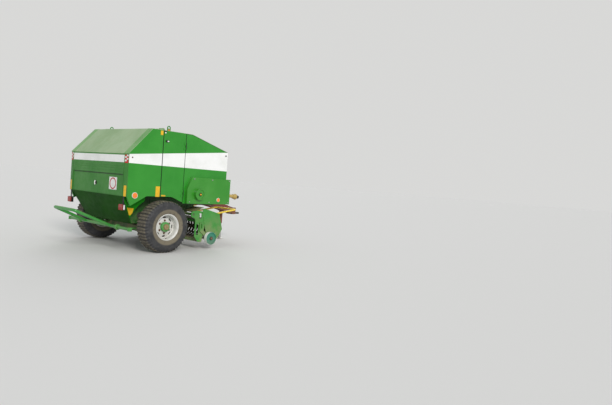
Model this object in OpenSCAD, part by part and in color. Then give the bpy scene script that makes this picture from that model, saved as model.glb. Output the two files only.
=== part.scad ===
// Round baler for farm use: fixed bale chamber, swing-up tailgate, tined pickup and drawbar.
// Millimetres, +X forward, +Y left, +Z up. The origin is on the ground, below the middle of
// the machine's length. Named places along X are counted from the wheels' axle.

/* [Body] */
// Half width over the side panels
half_w = 903; // [880:1:930]
// Height of the flat top
top_z = 1990; // [1960:5:2040]
// Thickness of the panels
sheet_t = 4; // [3:1:6]
// Depth of the folded edges of the side panels
fold_d = 36; // [25:1:45]
// Depth of the chain cover on the right door
cover_d = 56; // [50:1:64]
// Depth of the round boss on the chain cover
boss_d = 62; // [20:1:66]
// Radius of the round boss
boss_r = 98; // [80:1:105]
// Gap at the seams between panels
seam_gap = 8; // [6:1:12]
// Ridge between the top and the rear slope
ridge_x = -251; // [-290:1:-220]
// Bend between the top and the front slope
bend_x = 543; // [510:1:570]
// Front edge of the side panels
front_x = 1370; // [1340:5:1420]
// Height of the front slope's lower edge
front_top_z = 1756; // [1720:2:1790]
// Rear face of the tailgate
rear_x = -658; // [-690:1:-640]
// Height of the rear slope's lower edge
rear_top_z = 1552; // [1520:1:1580]
// Width of the rear corner posts
corner_w = 95; // [80:1:115]
// Height of the posts' outer edges over their inner edges, forwards
corner_back = 14; // [8:1:20]
// Groove between a corner post and the rear panel
groove = 10; // [8:1:14]
// Seam between tailgate and front chamber
seam_x = -40; // [-50:1:-36]
// Seam between the fixed side panel and the side door
door_seam_x = 410; // [390:5:440]
// Bottom edge of the side doors
door_z = 800; // [790:2:815]
// Bottom edge of the rear panel
bend_z = 885; // [870:5:910]
// Recess of the middle rear panel
rear_step = 12; // [6:1:20]
// Height of the step in the rear panel
step_z = 1231; // [1200:1:1260]

/* [Chamber] */
// Radius of the bale
bale_r = 600; // [560:5:610]
// Half width between the chamber walls
wall_y = 610; // [590:5:620]
// Thickness of the chamber walls
wall_t = 8; // [6:1:12]
// Chamber centre ahead of the axle
chamber_x = 118; // [112:1:122]
// Chamber centre above the ground
chamber_z = 1190; // [1185:1:1192]
// Radius of the rollers over their ribs
roller_r = 92; // [80:1:94]
// Height of the rollers' ribs
rib_h = 6; // [4:1:10]
// Lower end of the tailgate, behind the axle
gate_low_x = -400; // [-420:5:-380]
// Lower end of the tailgate, above the ground
gate_low_z = 440; // [430:2:450]
// Half width of the tailgate at its lower end
gate_low_w = 700; // [680:5:712]
// Radius of the rollers' shaft ends
journal_r = 25; // [20:1:30]
// Radius of the rollers' bearing flanges
flange_r = 58; // [50:1:64]
// Rear wall of the twine box ahead of the axle
box_x = 905; // [880:5:940]
// Floor of the twine box
box_z = 1430; // [1420:5:1460]

/* [Chain drive] */
// Pitch of the drive chain
chain_pitch = 31.49; // [25.4:0.01:38.1]
// Radius of the chain's rollers
chain_r = 9; // [7:0.5:10]
// Teeth on the gearbox's sprocket
small_teeth = 13; // [11:1:17]
// Teeth on the chamber's sprocket
large_teeth = 25; // [20:1:29]
// Thickness of the sprockets
tooth_w = 12; // [8:1:13]
// Radius of the cross shaft
cross_r = 25; // [20:1:30]

/* [Wheels] */
// Radius of the tyres
tyre_r = 422; // [410:1:432]
// Width of the tyres
tyre_w = 292; // [280:2:305]
// Half track over the outer tyre walls
track_y = 1125; // [1120:5:1150]
// Depth of the tread
lug_h = 15; // [10:1:20]
// Lugs round each tyre
lugs = 24; // [20:4:28]
// Width of the slots between the lugs
slot_w = 26; // [14:1:32]
// Radius of the rim flange
rim_r = 216; // [205:1:225]
// Radius of the wheel spindles
spindle_r = 32; // [28:1:36]
// Radius of the hub barrels
hub_r = 80; // [70:1:84]
// Circle of the wheel nuts
nut_ring = 104; // [100:0.5:108]
// Wheel nuts on each hub
nuts = 6; // [4:1:8]
// Running clearance of shafts in bores
run_gap = 0.05; // [0.03:0.01:0.1]

/* [Drawbar] */
// Hitch eye ahead of the axle
hitch_x = 2540; // [2480:10:2600]
// Hitch eye above the ground
hitch_z = 560; // [540:5:580]
// Radius of the hole in the hitch eye
hitch_r = 20; // [18:0.5:25]
// Thickness of the hitch eye
hitch_t = 36; // [30:1:42]
// Width of the drawbar beams
beam_w = 70; // [60:2:76]
// Height of the drawbar beams
beam_h = 120; // [100:5:130]
// Thickness of the drawbar channels
beam_t = 10; // [8:1:14]
// Height of the beams at the chassis
beam_z = 900; // [880:5:910]
// Jack ahead of the axle
jack_x = 2240; // [2230:5:2250]
// Radius of the jack's outer tube
jack_r = 38; // [34:1:42]
// Radius of the jack's inner tube
jack_leg_r = 30; // [26:1:33]

/* [Drive shaft] */
// Yoke joint at the gearbox, ahead of the axle
yoke_x = 1660; // [1640:5:1680]
// Yoke joint at the gearbox, above the ground
yoke_z = 970; // [960:5:990]
// Free end of the shaft, ahead of the axle
pto_x = 2530; // [2480:5:2550]
// Free end of the shaft, above the ground
pto_z = 900; // [880:5:920]
// Radius of the shaft's guard tube
guard_r = 38; // [34:1:45]
// Radius of the splined bore in the free yoke
spline_r = 17.4; // [15:0.1:20]

/* [Pickup] */
// Reel shaft ahead of the axle
reel_x = 1030; // [1020:5:1045]
// Reel shaft above the ground
reel_z = 360; // [350:5:370]
// Radius over the tines
tine_r = 225; // [215:1:230]
// Radius of the stripper bands
band_r = 176; // [170:1:180]
// Bands across the pickup
bands = 24; // [20:1:26]
// Gap between neighbouring bands
band_gap = 18; // [17:1:22]
// Tine bars of the reel
tine_bars = 4; // [3:1:5]
// Inner face of the pickup's end plates
shield_y = 967; // [960:1:972]
// Thickness of the pickup's end plates
shield_t = 5; // [4:1:6]
// Pickup pivot ahead of the axle
pick_x = 620; // [610:5:630]
// Pickup pivot above the ground
pick_z = 620; // [610:5:630]
// Gauge wheel radius
gauge_r = 112; // [105:1:115]
// Gauge wheel axle ahead of the machine's axle
gauge_x = 975; // [950:5:1000]
// Gauge wheel axle above the ground
gauge_z = 200; // [190:2:210]
// Gauge wheel width
gauge_w = 66; // [50:1:70]
// Radius of the crop guard tube
bow_r = 16; // [12:1:18]
// Front tube of the crop guard ahead of the axle
bow_x = 1720; // [1690:5:1760]

/* [Bale kicker] */
// Kicker pivot behind the axle
kick_x = -580; // [-600:5:-570]
// Kicker pivot above the ground
kick_z = 380; // [370:2:386]
// Rear bar behind the axle
kick_bar_x = -1160; // [-1180:5:-1100]
// Rear bar above the ground
kick_bar_z = 620; // [600:5:650]
// Radius of the kicker tube
kick_r = 25; // [20:1:26]

/* [Hidden] */
$fn = 48;

green = "forestgreen";
dark_green = "darkgreen";
overlap = 1;
seat_gap = 0.3;
swing_gap = 6;

// Pins of the pickup and of the tailgate cylinders
pivot_r = 24;
base_pin_r = 20;
cross_front_x = 1210;

// The outline of the body's side, and places that follow from it
rear_side_x = rear_x + corner_back + sheet_t + seat_gap;
slope = (top_z - rear_top_z) / (ridge_x - rear_x);
slope_drop = sheet_t * norm([1, slope]);
ridge_in_x = ridge_x + (slope_drop - sheet_t) / slope;
side_rear_z = top_z - (ridge_x - rear_side_x) * slope;
front_slope = (top_z - front_top_z) / (front_x - bend_x);
seam_tail = seam_x - seam_gap / 2;
seam_front = seam_x + seam_gap / 2;
seam_fixed = door_seam_x - seam_gap / 2;
seam_door = door_seam_x + seam_gap / 2;
arch_z = 2 * tyre_r + 61;
arch_rear_x = -290;
arch_tip = [-573, arch_z - 160];
arch_front_x = 190;
cheek_front_x = -250;
fixed_low_z = door_z + 20;
skin_y = half_w - sheet_t;

// Hinge lines
hinge_pin_r = 10;
tail_hinge_x = seam_x;
tail_hinge_z = top_z + 18;
door_hinge_x = door_seam_x + 2;
door_hinge_y = half_w + 9;
lid_hinge_x = bend_x + 2;
lid_hinge_z = top_z + 10;
lid_hinges = [-600, -20, 560];
door_hinges = [950, 1750];
knuckle_r = 8;
knuckle_w = 40;
tail_hinge_y = half_w - 75;
ear_r = 17;
ear_w = 30;

// Wheels
axle_z = tyre_r;
wheel_y = track_y - tyre_w / 2;
upright_y = wall_y + wall_t;
hub_in = 110;
hub_out = 96;
bead_r = rim_r - 20;
stud_r = 8;

// Rollers stand on a ring round the chamber, those behind it in line with the rear panel
ring_r = bale_r + roller_r + 8;
front_angles = [93.3, 76.8, 60.3, 43.8, 27.3, 10.8, -5.7, 266.7, 283.2];
rear_angles = [for (i = [0:8]) 112.2 + 16.3 * i];
roller_rear_x = rear_x + rear_step + sheet_t + 5 + roller_r;
function on_ring(angle) =
    [max(chamber_x + ring_r * cos(angle), roller_rear_x), chamber_z + ring_r * sin(angle)];

// The chamber walls are split here, and their slanted top edge runs forwards from the bend
wall_split = 900;
wall_top = top_z - sheet_t - 26;
wall_front_x = front_x - 8;
wall_front_z = front_top_z - 40;
wall_fall = (wall_top - wall_front_z) / (wall_front_x - bend_x);

// Chain drive behind the right door: centres, pitch circles and the loop's straight length
small_at = [1300, 1000];
large_at = on_ring(front_angles[6]);
small_pitch_r = small_teeth * chain_pitch / (2 * PI);
large_pitch_r = large_teeth * chain_pitch / (2 * PI);
chain_line = large_at - small_at;
chain_turn = atan2(chain_line[1], chain_line[0]);
chain_wrap = acos((small_pitch_r - large_pitch_r) / norm(chain_line));
chain_side = norm(chain_line) * sin(chain_wrap);
small_arc = small_pitch_r * (360 - 2 * chain_wrap) * PI / 180;
large_arc = large_pitch_r * 2 * chain_wrap * PI / 180;
chain_length = 2 * chain_side + small_arc + large_arc;
links = round(chain_length / chain_pitch);
chain_step = chain_length / links;
large_rest = (ceil((small_arc + chain_side) / chain_step) * chain_step) - small_arc - chain_side;
large_phase = chain_turn - chain_wrap + large_rest * 360 / (chain_pitch * large_teeth);
journal_end = upright_y + 34;
chain_y = upright_y + 70;
plate_t = 4;
chain_room = tooth_w + 2;

// Drawbar beams, from the chassis to the head
beam_from = [1150, 237, beam_z];
beam_to = [2380, 52, hitch_z + 50];
head_x = 2330;
beam_dir = beam_to - beam_from;
jack_beam = beam_from + beam_dir * (jack_x - beam_from[0]) / beam_dir[0];
jack_y = jack_beam[1] + beam_w / 2 + 10 + jack_r;
rest_x = head_x - 150;
pto_fall = (yoke_z - pto_z) / (pto_x - yoke_x);
rest_beam_z = beam_from[2] + (rest_x - beam_from[0]) * beam_dir[2] / beam_dir[0];
beam_span = beam_from[1] + (rest_x - beam_from[0]) * beam_dir[1] / beam_dir[0] + beam_w / 2;
rest_top_z = yoke_z - (rest_x - yoke_x) * pto_fall - guard_r * norm([1, pto_fall]) - seat_gap;
jack_low = 330;
jack_high = 900;
crank_r = 110;
yoke_pin_r = 12;

// Pickup
arm_y = shield_y - 10;
slot_pitch = 2 * (arm_y - seat_gap) / bands;
bow_tube = [1165, 612];
bow_tube_r = 20;
bow_out_y = 844;
bow_in_y = 300;
bow_z = 700;
gauge_y = shield_y + shield_t + 22 + gauge_w / 2;
gauge_axle_r = 12;
band_t = 4;
tail_high_x = 700;
tail_low_x = 768;
beam_side = 50;

// Tailgate cylinders
barrel_base = [430, 1330];
rod_end = [-330, 1560];
cylinder_y = (upright_y + skin_y) / 2;
barrel_r = 32;
rod_r = 16;

eye_y = half_w - 32;
kick_ball_r = kick_r + 1;
kick_bar_y = 325;
kick_end_y = 930;
hitch_ring_r = hitch_r + 34;
axle_x = -(hitch_x + hitch_ring_r + kick_bar_x - kick_ball_r) / 2;

module in_frame() {
    translate([axle_x, 0, 0]) children();
}

module pair() {
    children();
    mirror([0, 1, 0]) children();
}

// A block between two corners
module block(a, b) {
    translate(a) cube(b - a);
}

// A plate in the XZ plane whose outer face lies at y, thickness towards the middle
module side_plate(y, t, points) {
    translate([0, y, 0]) rotate([90, 0, 0]) linear_extrude(t) polygon(points);
}

// A sheet whose upper face runs from a to b in the XZ plane, symmetric about Y = 0
module sheet(a, b, width, t) {
    d = b - a;
    translate([a[0], 0, a[1]])
        rotate([0, -atan2(d[1], d[0]), 0])
            translate([0, -width / 2, -t]) cube([norm(d), width, t]);
}

// The corners of an anticlockwise outline moved inward by t
function inset(points, t) = let (n = len(points)) [
    for (i = [0:n - 1])
        let (
            back = points[i] - points[(i + n - 1) % n],
            ahead = points[(i + 1) % n] - points[i],
            a = [-back[1], back[0]] / norm(back),
            b = [-ahead[1], ahead[0]] / norm(ahead)
        )
        points[i] + (a + b) * t / (1 + a * b)
];

// A left side panel with folded edges; its points run anticlockwise seen from the right
module folded_panel(points, depth = fold_d) {
    translate([0, half_w, 0]) rotate([90, 0, 0]) difference() {
        linear_extrude(depth) polygon(points);
        translate([0, 0, sheet_t]) linear_extrude(depth) polygon(inset(points, sheet_t));
    }
}

// A round bar between two points
module bar(a, b, r) {
    d = b - a;
    translate(a) rotate([0, acos(d[2] / norm(d)), atan2(d[1], d[0])]) cylinder(h = norm(d), r = r);
}

// A cylinder along Y from y0 to y1
module round_y(x, z, r, y0, y1) {
    translate([x, y1, z]) rotate([90, 0, 0]) cylinder(h = y1 - y0, r = r);
}

// A square beam between two points, its height kept upright
module beam(a, b, w, h) {
    d = b - a;
    flat = norm([d[0], d[1]]);
    translate(a)
        rotate([0, 0, atan2(d[1], d[0])]) rotate([0, -atan2(d[2], flat), 0])
            translate([0, -w / 2, -h / 2]) cube([norm(d), w, h]);
}

module chamber_rollers(angles) {
    for (a = angles)
        translate([on_ring(a)[0], 0, on_ring(a)[1]]) {
            roller(a);
            pair() {
                round_y(0, 0, journal_r, wall_y - seat_gap - overlap, journal_end);
                round_y(0, 0, flange_r, upright_y + seat_gap, upright_y + 16);
            }
        }
}

// One chamber roller with raised ribs along it
module roller(turn) {
    half = wall_y - seat_gap;
    translate([0, half, 0]) rotate([90, 0, 0]) linear_extrude(2 * half) {
        circle(roller_r - rib_h);
        for (i = [0:7])
            rotate(45 * i + turn) translate([0, -6]) square([roller_r, 12]);
    }
}

module chamber_walls() in_frame() color(green) {
    split_z = wall_top - (wall_split - bend_x) * wall_fall;
    pair() {
        difference() {
            side_plate(upright_y, wall_t, [
                [seam_front, 400], [140, 388], [460, 470], [660, 560], [wall_split, 760],
                [wall_split, split_z], [bend_x, wall_top], [seam_front, wall_top]
            ]);
            journal_holes(front_angles);
        }
        difference() {
            side_plate(upright_y, wall_t, [
                [wall_split + seat_gap, 760], [wall_front_x - 17, 760], [wall_front_x, 1270],
                [wall_front_x, wall_front_z], [wall_split + seat_gap, split_z - wall_fall * seat_gap]
            ]);
            round_y(small_at[0], small_at[1], cross_r + 9, wall_y - overlap, upright_y + overlap);
        }
        spacers([[seam_front + 6, 1880], [seam_front + 6, 950], [seam_fixed - 46, 1880],
                 [seam_fixed - 46, 900]]);
        round_y(pick_x, pick_z, pivot_r, upright_y + seat_gap, arm_y + 8);
        base_plate(barrel_base);
        round_y(barrel_base[0], barrel_base[1], base_pin_r, upright_y + 12 + seat_gap,
                cylinder_y + barrel_r);
    }
    block([1150, -wall_y + seat_gap, beam_z - 60], [cross_front_x, wall_y - seat_gap, beam_z + 60]);
    block([1290, -wall_y + seat_gap, 1384], [wall_front_x, wall_y - seat_gap, 1424]);
}

// Square tubes between a chamber wall and the side panel, at the given lower rear corners
module spacers(places) {
    for (p = places)
        block([p[0], upright_y + seat_gap, p[1]], [p[0] + 40, skin_y - seat_gap, p[1] + 40]);
}

// Plate on a chamber wall that carries one end of a tailgate cylinder
module base_plate(place) {
    block([place[0] - 40, upright_y + seat_gap, place[1] - 40],
          [place[0] + 40, upright_y + 12, place[1] + 40]);
}

// Holes for the rollers' shaft ends
module journal_holes(angles) {
    for (a = angles)
        round_y(on_ring(a)[0], on_ring(a)[1], journal_r + seat_gap, wall_y - overlap,
                upright_y + overlap);
}

module side_panels() in_frame() color(green) pair() {
    folded_panel([
        [seam_front, arch_z], [arch_front_x, arch_z], [seam_fixed, fixed_low_z],
        [seam_fixed, top_z - sheet_t], [seam_front, top_z - sheet_t]
    ]);
    for (z = door_hinges)
        translate([door_hinge_x, door_hinge_y, z]) {
            translate([0, 0, -knuckle_w]) cylinder(h = 3 * knuckle_w, r = knuckle_r / 2);
            for (k = [-1, 1])
                translate([0, 0, k * (knuckle_w + seat_gap)]) {
                    cylinder(h = knuckle_w, r = knuckle_r);
                    block([-40, half_w - door_hinge_y, 0], [0, -3, knuckle_w]);
                }
        }
}

module roof_front() in_frame() color("darkseagreen") {
    sheet([seam_front, top_z], [bend_x - 4, top_z], 2 * half_w, sheet_t);
    block([seam_front, -wall_y, top_z - 14], [seam_front + 30, wall_y, top_z - sheet_t]);
    for (s = [-1, 1])
        translate([0, s * tail_hinge_y, 0]) {
            block([tail_hinge_x, -ear_w, top_z - overlap], [seam_front + 46, ear_w, tail_hinge_z]);
            round_y(tail_hinge_x, tail_hinge_z, ear_r, -ear_w, ear_w);
            round_y(tail_hinge_x, tail_hinge_z, hinge_pin_r, -2.2 * ear_w, 2.2 * ear_w);
        }
    for (y = lid_hinges) {
        round_y(lid_hinge_x, lid_hinge_z, knuckle_r / 2, y - knuckle_w, y + 2 * knuckle_w);
        for (k = [-1, 1])
            translate([0, y + k * (knuckle_w + seat_gap), 0]) {
                round_y(lid_hinge_x, lid_hinge_z, knuckle_r, 0, knuckle_w);
                block([lid_hinge_x - 34, 0, top_z - overlap], [lid_hinge_x - 6, knuckle_w, top_z + 5]);
                block([lid_hinge_x - 12, 0, top_z + 1], [lid_hinge_x, knuckle_w, top_z + 5]);
            }
    }
}

module front_panel() in_frame() color(green)
    block([front_x - 8, -skin_y + fold_d, 1270], [front_x - 8 + sheet_t, skin_y - fold_d, front_top_z - 30]);

module twine_box() in_frame() color(dark_green) {
    half = wall_y - seat_gap;
    block([box_x, -half, box_z], [box_x + sheet_t, half, 1840]);
    block([box_x, -half, box_z], [wall_front_x - seat_gap, half, box_z + sheet_t]);
}

module rollers_front() in_frame() color("gray") {
    chamber_rollers(front_angles);
    chain_drive();
}

// The centre line of the chain at the length s along it: [x, z, heading]
function chain_at(s) = s < small_arc
    ? on_arc(small_at, small_pitch_r, chain_turn + chain_wrap, s)
    : s < small_arc + chain_side
    ? on_side(small_at, small_pitch_r, chain_turn - chain_wrap, s - small_arc)
    : s < small_arc + chain_side + large_arc
    ? on_arc(large_at, large_pitch_r, chain_turn - chain_wrap, s - small_arc - chain_side)
    : on_side(large_at, large_pitch_r, chain_turn + chain_wrap, s - small_arc - chain_side - large_arc);
function on_arc(centre, r, from, s) = let (a = from + s / r * 180 / PI)
    [centre[0] + r * cos(a), centre[1] + r * sin(a), a + 90];
function on_side(centre, r, a, s) =
    [centre[0] + r * cos(a) - s * sin(a), centre[1] + r * sin(a) + s * cos(a), a + 90];

// A point beside the chain's centre line, d outwards
function beside(s, d) = let (p = chain_at(s)) [p[0] + d * sin(p[2]), p[1] - d * cos(p[2])];

// Whether the chain's pin at the length s shows, as the teeth fill the links on the sprockets
function off_teeth(s) = s > small_arc - 20
    && (s < small_arc + chain_side + 20 || s > chain_length - chain_side - 20);

// Edge of the link plates: wide at the pins, waisted between them
function plate_edge(side) = [
    for (i = [0:2 * links - 1]) beside(i * chain_length / (2 * links), side * (i % 2 == 0 ? 13 : 9))
];

// The chain from the gearbox's cross shaft to a chamber roller, with both sprockets
module chain_drive() {
    for (side = [-1, 1])
        translate([0, -chain_y + side * (chain_room + plate_t) / 2 + plate_t / 2, 0])
            rotate([90, 0, 0]) difference() {
                linear_extrude(plate_t) polygon(plate_edge(1));
                translate([0, 0, -1]) linear_extrude(plate_t + 2) polygon(plate_edge(-1));
            }
    for (i = [0:links - 1])
        let (p = chain_at(i * chain_step))
            if (off_teeth(i * chain_step))
                round_y(p[0], p[1], chain_r, -chain_y - chain_room / 2, -chain_y + chain_room / 2, $fn = 4);
    sprocket(small_at, small_pitch_r, small_teeth, chain_turn + chain_wrap, cross_r, 44);
    sprocket(large_at, large_pitch_r, large_teeth, large_phase, 0, 44);
    round_y(large_at[0], large_at[1], journal_r, -chain_y - 22, -journal_end - seat_gap);
}

// A sprocket with a seat for a chain roller in each gap; corners are [part of a pitch, height]
module sprocket(centre, pitch_r, teeth, phase, bore_r, boss) {
    corners = [[-0.15, 1 - chain_r], [0.15, 1 - chain_r], [0.4, 7], [0.6, 7]];
    translate([centre[0], -chain_y, centre[1]]) difference() {
        union() {
            translate([0, tooth_w / 2, 0]) rotate([90, 0, 0]) linear_extrude(tooth_w) polygon([
                for (i = [0:teeth - 1])
                    for (c = corners)
                        let (a = phase + (i + c[0]) * 360 / teeth)
                            (pitch_r + c[1]) * [cos(a), sin(a)]
            ]);
            round_y(0, 0, boss, -tooth_w / 2 - 8, tooth_w / 2 + 12);
        }
        if (bore_r > 0) round_y(0, 0, bore_r + seat_gap, -tooth_w * 2, tooth_w * 3);
    }
}

module rollers_rear() in_frame() color("gray") chamber_rollers(rear_angles);

module axle() in_frame() color(dark_green) {
    block([-50, -upright_y - 30, axle_z - 152], [50, upright_y + 30, axle_z - 52]);
    pair() {
        difference() {
            block([-90, upright_y + seat_gap, axle_z - 152], [90, upright_y + 40, 560]);
            // Notch round the bearing of the roller above the axle
            translate([on_ring(front_angles[7])[0], 0, on_ring(front_angles[7])[1]])
                round_y(0, 0, flange_r + seat_gap, upright_y, upright_y + 41);
        }
        round_y(0, axle_z, spindle_r + 16, upright_y + 39, wheel_y - hub_in - 6);
        round_y(0, axle_z, spindle_r, upright_y + 39, wheel_y + hub_out - 2);
    }
}

module kicker_arms() in_frame() color(dark_green) pair() {
    y = 560;
    difference() {
        union() {
            block([kick_x, y, kick_z - 36], [-50, y + 50, kick_z - 14]);
            round_y(kick_x, kick_z, 44, y, y + 50);
        }
        round_y(kick_x, kick_z, kick_r + run_gap, y - overlap, y + 50 + overlap);
    }
}

module drawbar() in_frame() color("maroon") {
    difference() {
        pair() difference() {
            beam(beam_from, beam_to, beam_w, beam_h);
            translate([0, -beam_t - 0.5, 0]) beam(beam_from, beam_to, beam_w + 1, beam_h - 2 * beam_t);
        }
        block([1100, -400, 500], [cross_front_x + seat_gap, 400, 1200]);
        block([head_x - seat_gap, -200, 300], [beam_to[0] + 100, 200, 900]);
    }
    block([head_x, -100, hitch_z - 20], [beam_to[0] + 40, 100, hitch_z + 118]);
    // Sleeve that holds the jack beside the right beam
    difference() {
        block([jack_x - 52, jack_beam[1] + beam_w / 2 + 1.5, jack_beam[2] - 50],
              [jack_x + 52, jack_y + jack_r + 12, jack_beam[2] + 50]);
        translate([jack_x, jack_y, 0]) cylinder(h = 1200, r = jack_r + seat_gap);
    }
    // Rest of the drive shaft, on a plate across the beams
    plate_z = rest_beam_z + beam_h / 2 + 4;
    block([rest_x - 30, -beam_span, plate_z], [rest_x, beam_span, plate_z + 10]);
    block([rest_x - 30, -30, plate_z + 9], [rest_x, 30, rest_top_z]);
}

module hitch_eye() in_frame() color("dimgray") difference() {
    union() {
        translate([hitch_x, 0, hitch_z - hitch_t / 2]) cylinder(h = hitch_t, r = hitch_ring_r);
        block([beam_to[0] + 40, -35, hitch_z - hitch_t / 2], [hitch_x - 20, 35, hitch_z + hitch_t / 2]);
    }
    translate([hitch_x, 0, hitch_z - hitch_t]) cylinder(h = 2 * hitch_t, r = hitch_r);
}

module gearbox() in_frame() color("dimgray") {
    half = 95;
    rear = cross_front_x + seat_gap;
    front = rear + 220;
    block([rear, -half, yoke_z - half], [front, half, yoke_z + half]);
    for (i = [0:3])
        block([rear + 25 + 50 * i, -half - 9, yoke_z - half + 15],
              [rear + 33 + 50 * i, half + 9, yoke_z + half - 15]);
    // Output neck, stub shaft and the fork's foot: [from, to, radius]
    for (s = [[front - overlap, yoke_x - 130, 66], [yoke_x - 131, yoke_x - 70, 22],
              [yoke_x - 71, yoke_x - 55, 46]])
        translate([s[0], 0, yoke_z]) rotate([0, 90, 0]) cylinder(h = s[1] - s[0], r = s[2]);
    // Fork of the yoke joint
    pair() difference() {
        union() {
            block([yoke_x - 56, 32, yoke_z - 20], [yoke_x, 44, yoke_z + 20]);
            round_y(yoke_x, yoke_z, 22, 32, 44);
        }
        round_y(yoke_x, yoke_z, yoke_pin_r + run_gap, 31, 45);
    }
    round_y(small_at[0], small_at[1], cross_r, -chain_y - 24, -half);
    round_y(small_at[0], small_at[1], cross_r + 20, -half - 30, -half + overlap);
}

module lifting_eyes() in_frame() color(green) pair()
    translate([64, eye_y, top_z]) difference() {
        union() {
            translate([-32, 0, 0]) cube([64, 12, 52]);
            translate([0, 12, 52]) rotate([90, 0, 0]) cylinder(h = 12, r = 32);
        }
        translate([0, 13, 52]) rotate([90, 0, 0]) cylinder(h = 14, r = 18);
    }

module jack_tube() in_frame() color("darkred")
    translate([jack_x, jack_y, 0]) {
        difference() {
            translate([0, 0, jack_low]) cylinder(h = jack_high - jack_low, r = jack_r);
            translate([0, 0, jack_low - 1])
                cylinder(h = jack_high - jack_low - 11, r = jack_leg_r + seat_gap);
        }
        // Crank
        translate([0, 0, jack_high - overlap]) cylinder(h = 36, r = 12);
        translate([0, 0, jack_high + 28]) {
            block([-10, -10, 0], [10, crank_r + 10, 8]);
            translate([0, crank_r, 7]) cylinder(h = 90, r = 9);
        }
    }

module jack_leg() in_frame() color("silver")
    translate([jack_x, jack_y, 0]) {
        cylinder(h = 10, r = 90);
        translate([0, 0, 10 - overlap]) cylinder(h = 420, r = jack_leg_r);
    }

module pto_shaft() in_frame() {
    a = [yoke_x, 0, yoke_z];
    d = [pto_x - yoke_x, 0, pto_z - yoke_z];
    bell = guard_r + 24;
    color("khaki") {
        translate(a) rotate([0, 90 + atan2(-d[2], d[0]), 0]) {
            translate([0, 0, 60]) cylinder(h = norm(d) - 120, r = guard_r);
            for (p = [60, norm(d) - 140])
                translate([0, 0, p]) cylinder(h = 80, r = bell);
            translate([0, 0, -18]) cylinder(h = 80, r = 30);
            difference() {
                translate([0, 0, norm(d) - 70]) cylinder(h = 90, r = 34);
                translate([0, 0, norm(d) - 50]) cylinder(h = 80, r = spline_r);
            }
        }
        // Cross pin of the yoke joint
        round_y(yoke_x, yoke_z, yoke_pin_r, -46, 46);
    }
}

door_top = [for (p = [[front_x, front_top_z], [bend_x, top_z], [seam_door, top_z]])
    [p[0], p[1] - sheet_t - swing_gap]];

module door_panel() {
    folded_panel(concat([[seam_door, door_z], [front_x, door_z]], door_top));
    for (z = door_hinges)
        translate([door_hinge_x, door_hinge_y, z]) {
            difference() {
                union() {
                    cylinder(h = knuckle_w, r = knuckle_r);
                    block([0, half_w - door_hinge_y, 0], [40, -3, knuckle_w]);
                }
                translate([0, 0, -1]) cylinder(h = knuckle_w + 2, r = knuckle_r / 2 + run_gap);
            }
        }
}

module door_right() in_frame() color(green) mirror([0, 1, 0]) door_panel();

module door_left() in_frame() color(green) door_panel();

module chain_cover() in_frame() color(green) mirror([0, 1, 0]) {
    translate([0, half_w + cover_d, 0]) rotate([90, 0, 0]) difference() {
        linear_extrude(cover_d) polygon([[462, door_z + 4], [1430, door_z + 4], [1430, 1260],
                                    [560, 1260], [462, 1060]]);
        translate([0, 0, sheet_t]) linear_extrude(cover_d) polygon([
            [466, door_z + 8], [1426, door_z + 8], [1426, 1256], [563, 1256], [466, 1059]]);
    }
    difference() {
        round_y(700, 970, boss_r, half_w + cover_d - overlap, half_w + cover_d + boss_d);
        round_y(700, 970, boss_r - 16, half_w + cover_d + boss_d - 10, half_w + cover_d + boss_d + 1);
    }
    round_y(700, 970, 30, half_w + cover_d + boss_d - 11, half_w + cover_d + boss_d);
}

module box_lid() in_frame() color(green) {
    a = [bend_x + 4, top_z - 4 * front_slope];
    b = [front_x, front_top_z];
    sheet(a, b, 2 * half_w, sheet_t);
    for (y = lid_hinges)
        translate([lid_hinge_x, y, lid_hinge_z]) difference() {
            union() {
                round_y(0, 0, knuckle_r, 0, knuckle_w);
                block([0, 0, -22], [28, knuckle_w, -2]);
            }
            round_y(0, 0, knuckle_r / 2 + run_gap, -1, knuckle_w + 1);
        }
}

tail_side_top = [for (p = [[seam_tail, top_z - sheet_t], [ridge_in_x, top_z - sheet_t],
    [rear_side_x, side_rear_z - slope_drop]]) [p[0], p[1] - seat_gap]];

module tail_walls() in_frame() color(green) pair() {
    wall_rear_x = rear_x + rear_step + sheet_t + seat_gap;
    difference() {
        side_plate(upright_y, wall_t, [
            [seam_tail, 430], [seam_tail, top_z - sheet_t - seat_gap], [ridge_x, top_z - sheet_t - 6],
            [wall_rear_x, rear_top_z - 10], [wall_rear_x, bend_z], [gate_low_x + 5.5, gate_low_z]
        ]);
        journal_holes(rear_angles);
    }
    spacers([[seam_tail - 46, 1880], [seam_tail - 46, 950], [rear_x + 76, 1300], [rear_x + 112, 912]]);
    base_plate(rod_end);
    block([rod_end[0] - 25, upright_y + 12 + seat_gap, rod_end[1] - 25],
          [rod_end[0] + 25, cylinder_y - 14 - swing_gap, rod_end[1] + 25]);
}

module tail_side_panels() in_frame() color(green) pair()
    folded_panel(concat([[rear_side_x, bend_z + 10], arch_tip, [arch_rear_x, arch_z], [seam_tail, arch_z]],
                        tail_side_top));

module tail_roof() in_frame() color("darkseagreen") {
    sheet([ridge_x, top_z], [seam_tail, top_z], 2 * half_w, sheet_t);
    sheet([rear_x, rear_top_z], [ridge_x, top_z], 2 * half_w, sheet_t);
    for (s = [-1, 1])
        for (k = [-1, 1])
            translate([tail_hinge_x, s * tail_hinge_y + k * (1.5 * ear_w + seat_gap), tail_hinge_z])
                difference() {
                    union() {
                        round_y(0, 0, ear_r, -ear_w / 2, ear_w / 2);
                        block([-64, -ear_w / 2, top_z - overlap - tail_hinge_z], [-6, ear_w / 2, 0]);
                    }
                    round_y(0, 0, hinge_pin_r + run_gap, -ear_w, ear_w);
                }
}

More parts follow.
